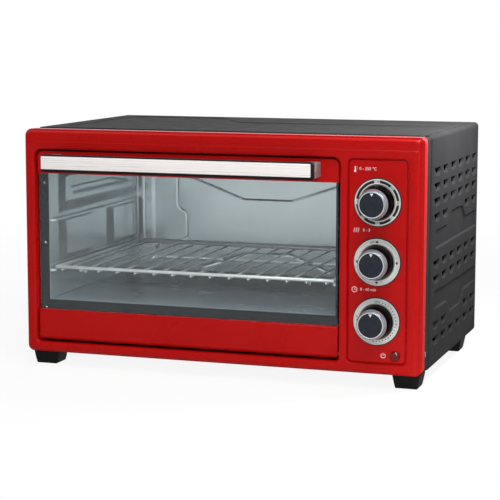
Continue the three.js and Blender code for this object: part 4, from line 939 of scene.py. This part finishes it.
# Lettering from Blender's own font: a word's outline is filled and thickened, made a mesh, and only then
# turned by (cos, sin) about its middle and set in place.
def printedWord(text, size, centre, depths, turn=0.0):
    curve = bpy.data.curves.new("word", "FONT")
    curve.body, curve.size, curve.align_x, curve.align_y = text, size, "CENTER", "CENTER"
    curve.extrude, curve.resolution_u = 0.5, 3
    holder = bpy.data.objects.new("word", curve)
    bpy.context.scene.collection.objects.link(holder)
    bpy.context.view_layer.update()
    flat = bpy.data.meshes.new_from_object(holder.evaluated_get(bpy.context.evaluated_depsgraph_get()))
    points = np.zeros(len(flat.vertices) * 3)
    flat.vertices.foreach_get("co", points)
    across, up, thick = points.reshape(-1, 3).T
    faces = [list(polygon.vertices) for polygon in flat.polygons]
    bpy.data.objects.remove(holder)
    bpy.data.curves.remove(curve)
    bpy.data.meshes.remove(flat)
    cos, sin = math.cos(math.radians(turn)), math.sin(math.radians(turn))
    depth = np.where(thick > 0, *depths)
    return setOnAxis(centre[0] + across * cos + up * sin, centre[1] - across * sin + up * cos, depth), faces


# A word on a dial: its middle lies on a circle round the dial's centre, and it is turned with its place.
def dialWord(text, centre, turn, radius=controls["numberRadius"], size=controls["numberSize"]):
    return printedWord(text, size, dialArc(centre, radius, turn, turn, 1)[0], controls["ink"], turn)


# Prints of the three dials: a heat scale with arcs between its numbers, four stops, and a minute scale. All
# have a thin ring on the plate; the wide black ring on the fascia round each dial is painted shadow.
def dialPrintAndShadowRing(name, centre):
    ink, surfaces = controls["ink"], []
    if name == "temperature":
        for index, label in enumerate(("60", "90", "120", "150", "200", "250")):
            middle = 45 + index * 45
            surfaces.append(dialWord(label, centre, middle, 22.5))
            surfaces.append(inkStrip(dialArc(centre, 23.0, middle - 39, middle - 6), 2.9, ink))
        surfaces.append(inkStrip(dialArc(centre, 23.0, 278, 350, 40), 2.9, ink))
        surfaces.append(dialWord("0", centre, 0, 22.5))
    if name == "function":
        for turn in (0, 90, 180, 270):
            surfaces.append(inkSpot(dialArc(centre, 22.3, turn, turn, 1)[0], 1.5, ink))
        for label, turn in (("OFF", -14), ("1", 76), ("2", 166), ("3", 256)):
            surfaces.append(dialWord(label, centre, turn))
    if name == "timer":
        surfaces.append(dialWord("OFF", centre, 0, size=2.8))
        for place in range(1, 31):
            turn = place * 9.4
            if place % 5 == 0:
                surfaces.append(dialWord(str(place * 2), centre, turn))
            else:
                surfaces.append(inkStrip(dialArc(centre, 21.9, turn - 1.8, turn + 1.8, 4), 1.4, ink))
    surfaces.append(inkStrip(dialArc(centre, 20.05, 0, 354, 60), 0.35, ink, closed=True))
    # Painted shadow round the dial: a wide black ring on the fascia
    surfaces.append(inkStrip(dialArc(centre, 26.4, 0, 354, 60), 1.9, fasciaInk, closed=True))
    return surfaces


# A dial's pointer: a flat triangle below the top of its knob, at a front and a back depth.
def pointerSurface(centre):
    tip = np.array(controls["pointer"] * 2) + centre
    faces = [[0, 1, 2], [5, 4, 3], [0, 3, 4, 1], [1, 4, 5, 2], [2, 5, 3, 0]]
    return setOnAxis(*tip.T, np.repeat(controls["pointerDepths"], 3)), faces, "foil"


for name, z in controls["places"].items():
    centre, body = (controls["x"], z), "knob_" + name
    plate, skirt, cap, face, rim = (turned(controls[key], centre, controls["steps"])
        for key in ("dial", "skirt", "cap", "face", "rim"))
    dialFinish = spunAluminium("spun_aluminium_" + name, *centre)
    makePiece("dial_plate_" + name, [plate], dialFinish, "dial_" + name)
    makePiece("dial_marks_and_shadow_" + name, dialPrintAndShadowRing(name, centre), blackInkAndShadow)
    makePiece("knob_body_" + name, [skirt], glossBlack, "knob_skirt_" + name, body)
    makePiece("knob_crown_" + name, [cap], chromedCap, "knob_cap_" + name, body)
    disc = [face, pointerSurface(centre), (*rim, "foil")]
    makePiece("knob_disc_" + name, disc, [satinFace, stampedFoil], "knob_face_" + name, body)


# Pictograms beside the dials, drawn with ink lines: a thermometer, three waves of heat, a clock and a power
# mark; and the range of each dial in figures.
def fasciaPrint():
    ink = fasciaInk
    x, z = 163.0, 246.0
    surfaces = [inkSpot((x, z - 2.0), 1.3, ink), inkStrip([(x, z - 1), (x, z + 3.2)], 1.0, ink)]
    for rise in (0.4, 2.2):
        surfaces.append(inkStrip([(x + 1.6, z + rise), (x + 2.6, z + rise)], 0.4, ink))
    surfaces.append(printedWord("0 - 250 °C", 4.6, (x + 14.5, z + 0.4), ink))
    x, z = 165.0, 178.5
    surfaces.append(printedWord("0 - 3", 4.4, (x + 11.5, z), ink))
    for shift in (-2.4, 0, 2.4):
        t = np.linspace(-1, 1, 14)
        wave = np.stack([x + shift + 0.5 * np.sin(t * math.pi), z + 2.6 * t], -1)
        surfaces.append(inkStrip(wave, 0.6, ink))
    x, z = 163.5, 112.0
    surfaces.append(inkStrip(dialArc((x, z), 2.9, 0, 354, 40), 0.6, ink, closed=True))
    for hand in ([(x, z - 0.2), (x, z + 1.9)], [(x - 0.2, z), (x + 1.5, z)]):
        surfaces.append(inkStrip(hand, 0.5, ink))
    surfaces.append(printedWord("0 - 60 min", 4.4, (x + 15.5, z + 0.4), ink))
    x, z = 197.0, 39.1
    for stroke in (dialArc((x, z), 2.5, 35, 325, 30), [(x, z + 0.2), (x, z + 3.0)]):
        surfaces.append(inkStrip(stroke, 0.6, ink))
    return surfaces


makePiece("fascia_marks", fasciaPrint(), whiteInk)

lamp = {
    "place": (210.4, 39.1),
    "profile": [
        (0, -135.7), (4.0, -135.7), (4.0, -141.9), (5.6, -141.9), (5.8, -142.2), (5.75, -142.8),
        (5.2, -143.8), (4.2, -144.6), (2.6, -145.0), (0, -145.1),
    ],
}
makePiece("lamp_cover", [turned(lamp["profile"], lamp["place"], 48)], rubyLens, "lamp_lens")
print("controls made")

# Feet, gland and small metal parts

foot = {
    "top": 31.6, "sole": 25.6, "high": 16.2, "corner": 2.4, "soleRound": 1.2, "brow": 1.4,
    "places": {"front_left": (-220.3, -114.9), "front_right": (220.3, -114.9), "rear_left": (-220.3, 114.5),
        "rear_right": (220.3, 114.5)},
    "stem": [(0, 15.5), (3.0, 15.5), (3.0, 19.9), (4.5, 19.9), (4.5, 20.6), (3.0, 22.4), (0, 22.4)],
}
half, taper, top = foot["top"] / 2, (foot["top"] - foot["sole"]) / 2, foot["high"]
brow, sole = top - foot["brow"], foot["soleRound"]
footProfile = [(0.5, top), (0.15, top - 0.15), (0, top - 0.5), (0, brow)]
footProfile += [(taper * share, brow * (1 - share) + sole * share) for share in (0.33, 0.66, 1.0)]
footProfile += [(taper + 0.35, 0.35), (taper + 1.2, 0.0)]
for name, (x, y) in foot["places"].items():
    shape = roundRect(x - half, x + half, y - half, y + half, foot["corner"])
    block = [carriedRound(shape, footProfile, 4, "z"), turned(foot["stem"], (x, y), 24, "z")]
    makePiece("foot_block_" + name, block, mouldedBlack, "foot_" + name)

screw = {
    "place": (-117.6, 38.1), "seat": 238.9, "shankEnd": 233.1, "shank": 1.6, "reach": 0.95, "radius": 3.4,
    "crossWidth": 0.5, "crossLength": 1.9, "crossDepth": 0.5, "rings": 15, "steps": 48,
}


# Screw head: a shallow dome turned on its axis, sunk where two narrow bands cross, and closed at its seat.
def screwHead(side):
    share = np.linspace(0, 1, screw["rings"])[:, None]
    turn = np.linspace(0, 2 * math.pi, screw["steps"], endpoint=False)
    across, up = screw["radius"] * share * np.cos(turn), screw["radius"] * share * np.sin(turn)
    wide, long = screw["crossWidth"], screw["crossLength"]
    cross = ((np.abs(across) < wide) & (np.abs(up) < long)) | ((np.abs(up) < wide) & (np.abs(across) < long))
    height = screw["reach"] * np.sqrt(1 - (share * 0.92) ** 2) - screw["crossDepth"] * cross
    seat, (y, z) = side * screw["seat"], screw["place"]
    crown = setOnAxis(y + across, z + up, seat + side * height, "x")
    rim = setOnAxis(y + across[-1], z + up[-1], seat, "x")
    points = np.concatenate([crown, rim])
    faces = gridFaces(screw["rings"] + 1, screw["steps"], closedColumns=True)
    return points, faces + [list(range(len(points) - screw["steps"], len(points)))]


for side, name in ((-1, "left"), (1, "right")):
    end, seat, shank = side * screw["shankEnd"], side * screw["seat"], screw["shank"]
    pin = turned([(0, end), (shank, end), (shank, seat), (0, seat)], screw["place"], 16, "x")
    makePiece("side_screw_" + name, [screwHead(side), pin], zincPlating, "shell_screw_" + name)

gland = {
    "place": (178.0, 50.5),
    "profile": [
        (3.6, 161.9), (9, 161.9), (9, 164.4), (7, 164.4), (7, 165.8), (9.7, 165.8), (10, 166.1), (10, 167.9),
        (9.6, 168.3), (7.4, 168.6), (7.0, 169.2), (6.8, 172.0), (6.4, 172.4), (5.8, 172.5), (4.2, 172.5),
        (3.7, 172.1), (3.6, 171.5), (3.6, 161.9),
    ],
}
bush = turned(gland["profile"], gland["place"], 48)
makePiece("gland_bush", [bush], mouldedBlack, "cord_gland")

# Carried-over parts keep their shape and get the finish of the real thing
carriedOver = {
    zincSheet: "bottom_plate control_bracket", darkSteel: "front_frame", doorGlass: "door_glass",
    zincPlating: "hinge_pin_left hinge_pin_right hinge_bracket_left hinge_bracket_right door_stay_left"
        " door_stay_right shaft_temperature shaft_function shaft_timer timer_bell",
    creamThermoset: "thermostat function_switch", glazedCeramic: "terminal_block",
    mouldedBlack: "lamp_holder", heaterSheath: "timer_mechanism",
}
for finish, names in carriedOver.items():
    for name in names.split():
        for place in nodes[name].material_slots:
            place.material = finish
print("small parts made")

# Studio

studio = {
    "camera": (636.40, -1913.97, 407.13), "azimuth": 18.5698, "elevation": 7.8171, "roll": 0.083,
    "focal": 1669.476, "picture": 500, "film": 36, "far": 50,
    "fill": 0.28, "room": 0.24, "behind": 0.9, "mirrored": 0.22, "aim": (0, 0, 0.14), "table": 6,
    "lamps": {  # place and size in metres, and power in watts
        "key": ((0.6, -1.3, 2.2), 1.4, 36.0),
        "front": ((0.9, -2.5, 1.1), 1.2, 20.0),
        "side": ((0.38, 0.02, 0.46), 0.16, 4.2),
    },
}
scene = bpy.context.scene
scene.view_settings.view_transform = "Standard"

azimuth, elevation, roll = (math.radians(studio[key]) for key in ("azimuth", "elevation", "roll"))
ahead = math.cos(elevation)
backward = Vector((math.sin(azimuth) * ahead, -math.cos(azimuth) * ahead, math.sin(elevation)))
level = Vector((math.cos(azimuth), math.sin(azimuth), 0))
upright = backward.cross(level)
right = math.cos(roll) * level + math.sin(roll) * upright
up = math.cos(roll) * upright - math.sin(roll) * level
lens = bpy.data.cameras.new("camera")
lens.sensor_width, lens.clip_end = studio["film"], studio["far"]
lens.lens = studio["focal"] / studio["picture"] * studio["film"]
camera = bpy.data.objects.new("camera", lens)
scene.collection.objects.link(camera)
turnMatrix = Matrix((right, up, backward)).transposed().to_4x4()
camera.matrix_world = Matrix.Translation(Vector(studio["camera"]) * mm) @ turnMatrix
scene.camera = camera

# Soft lamps: square area lights that face the oven's middle
for name, (place, size, power) in studio["lamps"].items():
    light = bpy.data.lights.new(name, "AREA")
    light.shape, light.size, light.energy = "SQUARE", size, power
    lampHolder = bpy.data.objects.new(name, light)
    scene.collection.objects.link(lampHolder)
    lampHolder.location = place
    lampHolder.rotation_euler = (Vector(studio["aim"]) - Vector(place)).to_track_quat("-Z", "Y").to_euler()

# Air of the studio: dim for soft light, paler behind the oven where a surface mirrors it, white to the camera
world = bpy.data.worlds.new("studio_air")
world.use_nodes = True
air = world.node_tree
air.nodes.clear()
ray = addNode(air, "LightPath")
seen = addNode(air, "Math", {0: ray["Is Camera Ray"], 1: ray["Is Transmission Ray"]}, operation="MAXIMUM")[0]
heading = addNode(air, "SeparateXYZ", {0: addNode(air, "TexCoord")["Generated"]})["Y"]
behind = {"Value": heading, "From Min": -0.2, "From Max": 0.5}
behind |= {"To Min": studio["room"], "To Max": studio["behind"]}
behind = addNode(air, "MapRange", behind)[0]
soft, mirrored, white = (addNode(air, "Background", {"Color": (1, 1, 1, 1), "Strength": strength})[0]
    for strength in (studio["fill"], behind, 1.0))
mixed = addNode(air, "MixShader", {0: ray["Is Glossy Ray"], 1: soft, 2: mirrored})[0]
mixed = addNode(air, "MixShader", {0: seen, 1: mixed, 2: white})[0]
addNode(air, "OutputWorld", {"Surface": mixed})
scene.world = world

# Studio table: pale paper that glows white to the camera, less near the oven, where it keeps a tenth of the
# shadow, and dimly in reflections
size = studio["table"]
corners = [(-size, -size, 0), (size, -size, 0), (size, size, 0), (-size, size, 0)]
tableMesh = bpy.data.meshes.new("studio_table")
tableMesh.from_pydata(corners, [], [[0, 1, 2, 3]])
table = bpy.data.objects.new("studio_table", tableMesh)
scene.collection.objects.link(table)
paper, tree, place = emptyFinish("matt_white_paper")
fibre = addNode(tree, "TexNoise", {"Vector": place, "Scale": 900.0})["Fac"]
first, second = linearColour("#F2F2F2"), linearColour("#F6F6F6")
tone = addNode(tree, "Mix", {0: fibre, 6: first, 7: second}, data_type="RGBA")[2]
matt = addNode(tree, "BsdfDiffuse", {"Color": tone})[0]
ray = addNode(tree, "LightPath")
seen = addNode(tree, "Math", {0: ray["Is Camera Ray"], 1: ray["Is Transmission Ray"]}, operation="MAXIMUM")[0]
dim = studio["mirrored"]
strength = addNode(tree, "Math", {0: seen, 1: 1 - dim, 2: dim}, operation="MULTIPLY_ADD")[0]
glow = addNode(tree, "Emission", {"Color": (1, 1, 1, 1), "Strength": strength})[0]
reach = addNode(tree, "VectorMath", {0: place}, operation="LENGTH")["Value"]
fade = {"Value": reach, "From Min": 0.5, "From Max": 1.4, "To Min": 0.9, "To Max": 1.0}
fade = addNode(tree, "MapRange", fade)[0]
share = addNode(tree, "Math", {0: seen, 1: fade}, operation="MULTIPLY")[0]
share = addNode(tree, "Math", {0: ray["Is Glossy Ray"], 1: share}, operation="MAXIMUM")[0]
addNode(tree, "OutputMaterial", {"Surface": addNode(tree, "MixShader", {0: share, 1: matt, 2: glow})[0]})
table.data.materials.append(paper)
table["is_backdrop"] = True
print("studio made")

low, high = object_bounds()
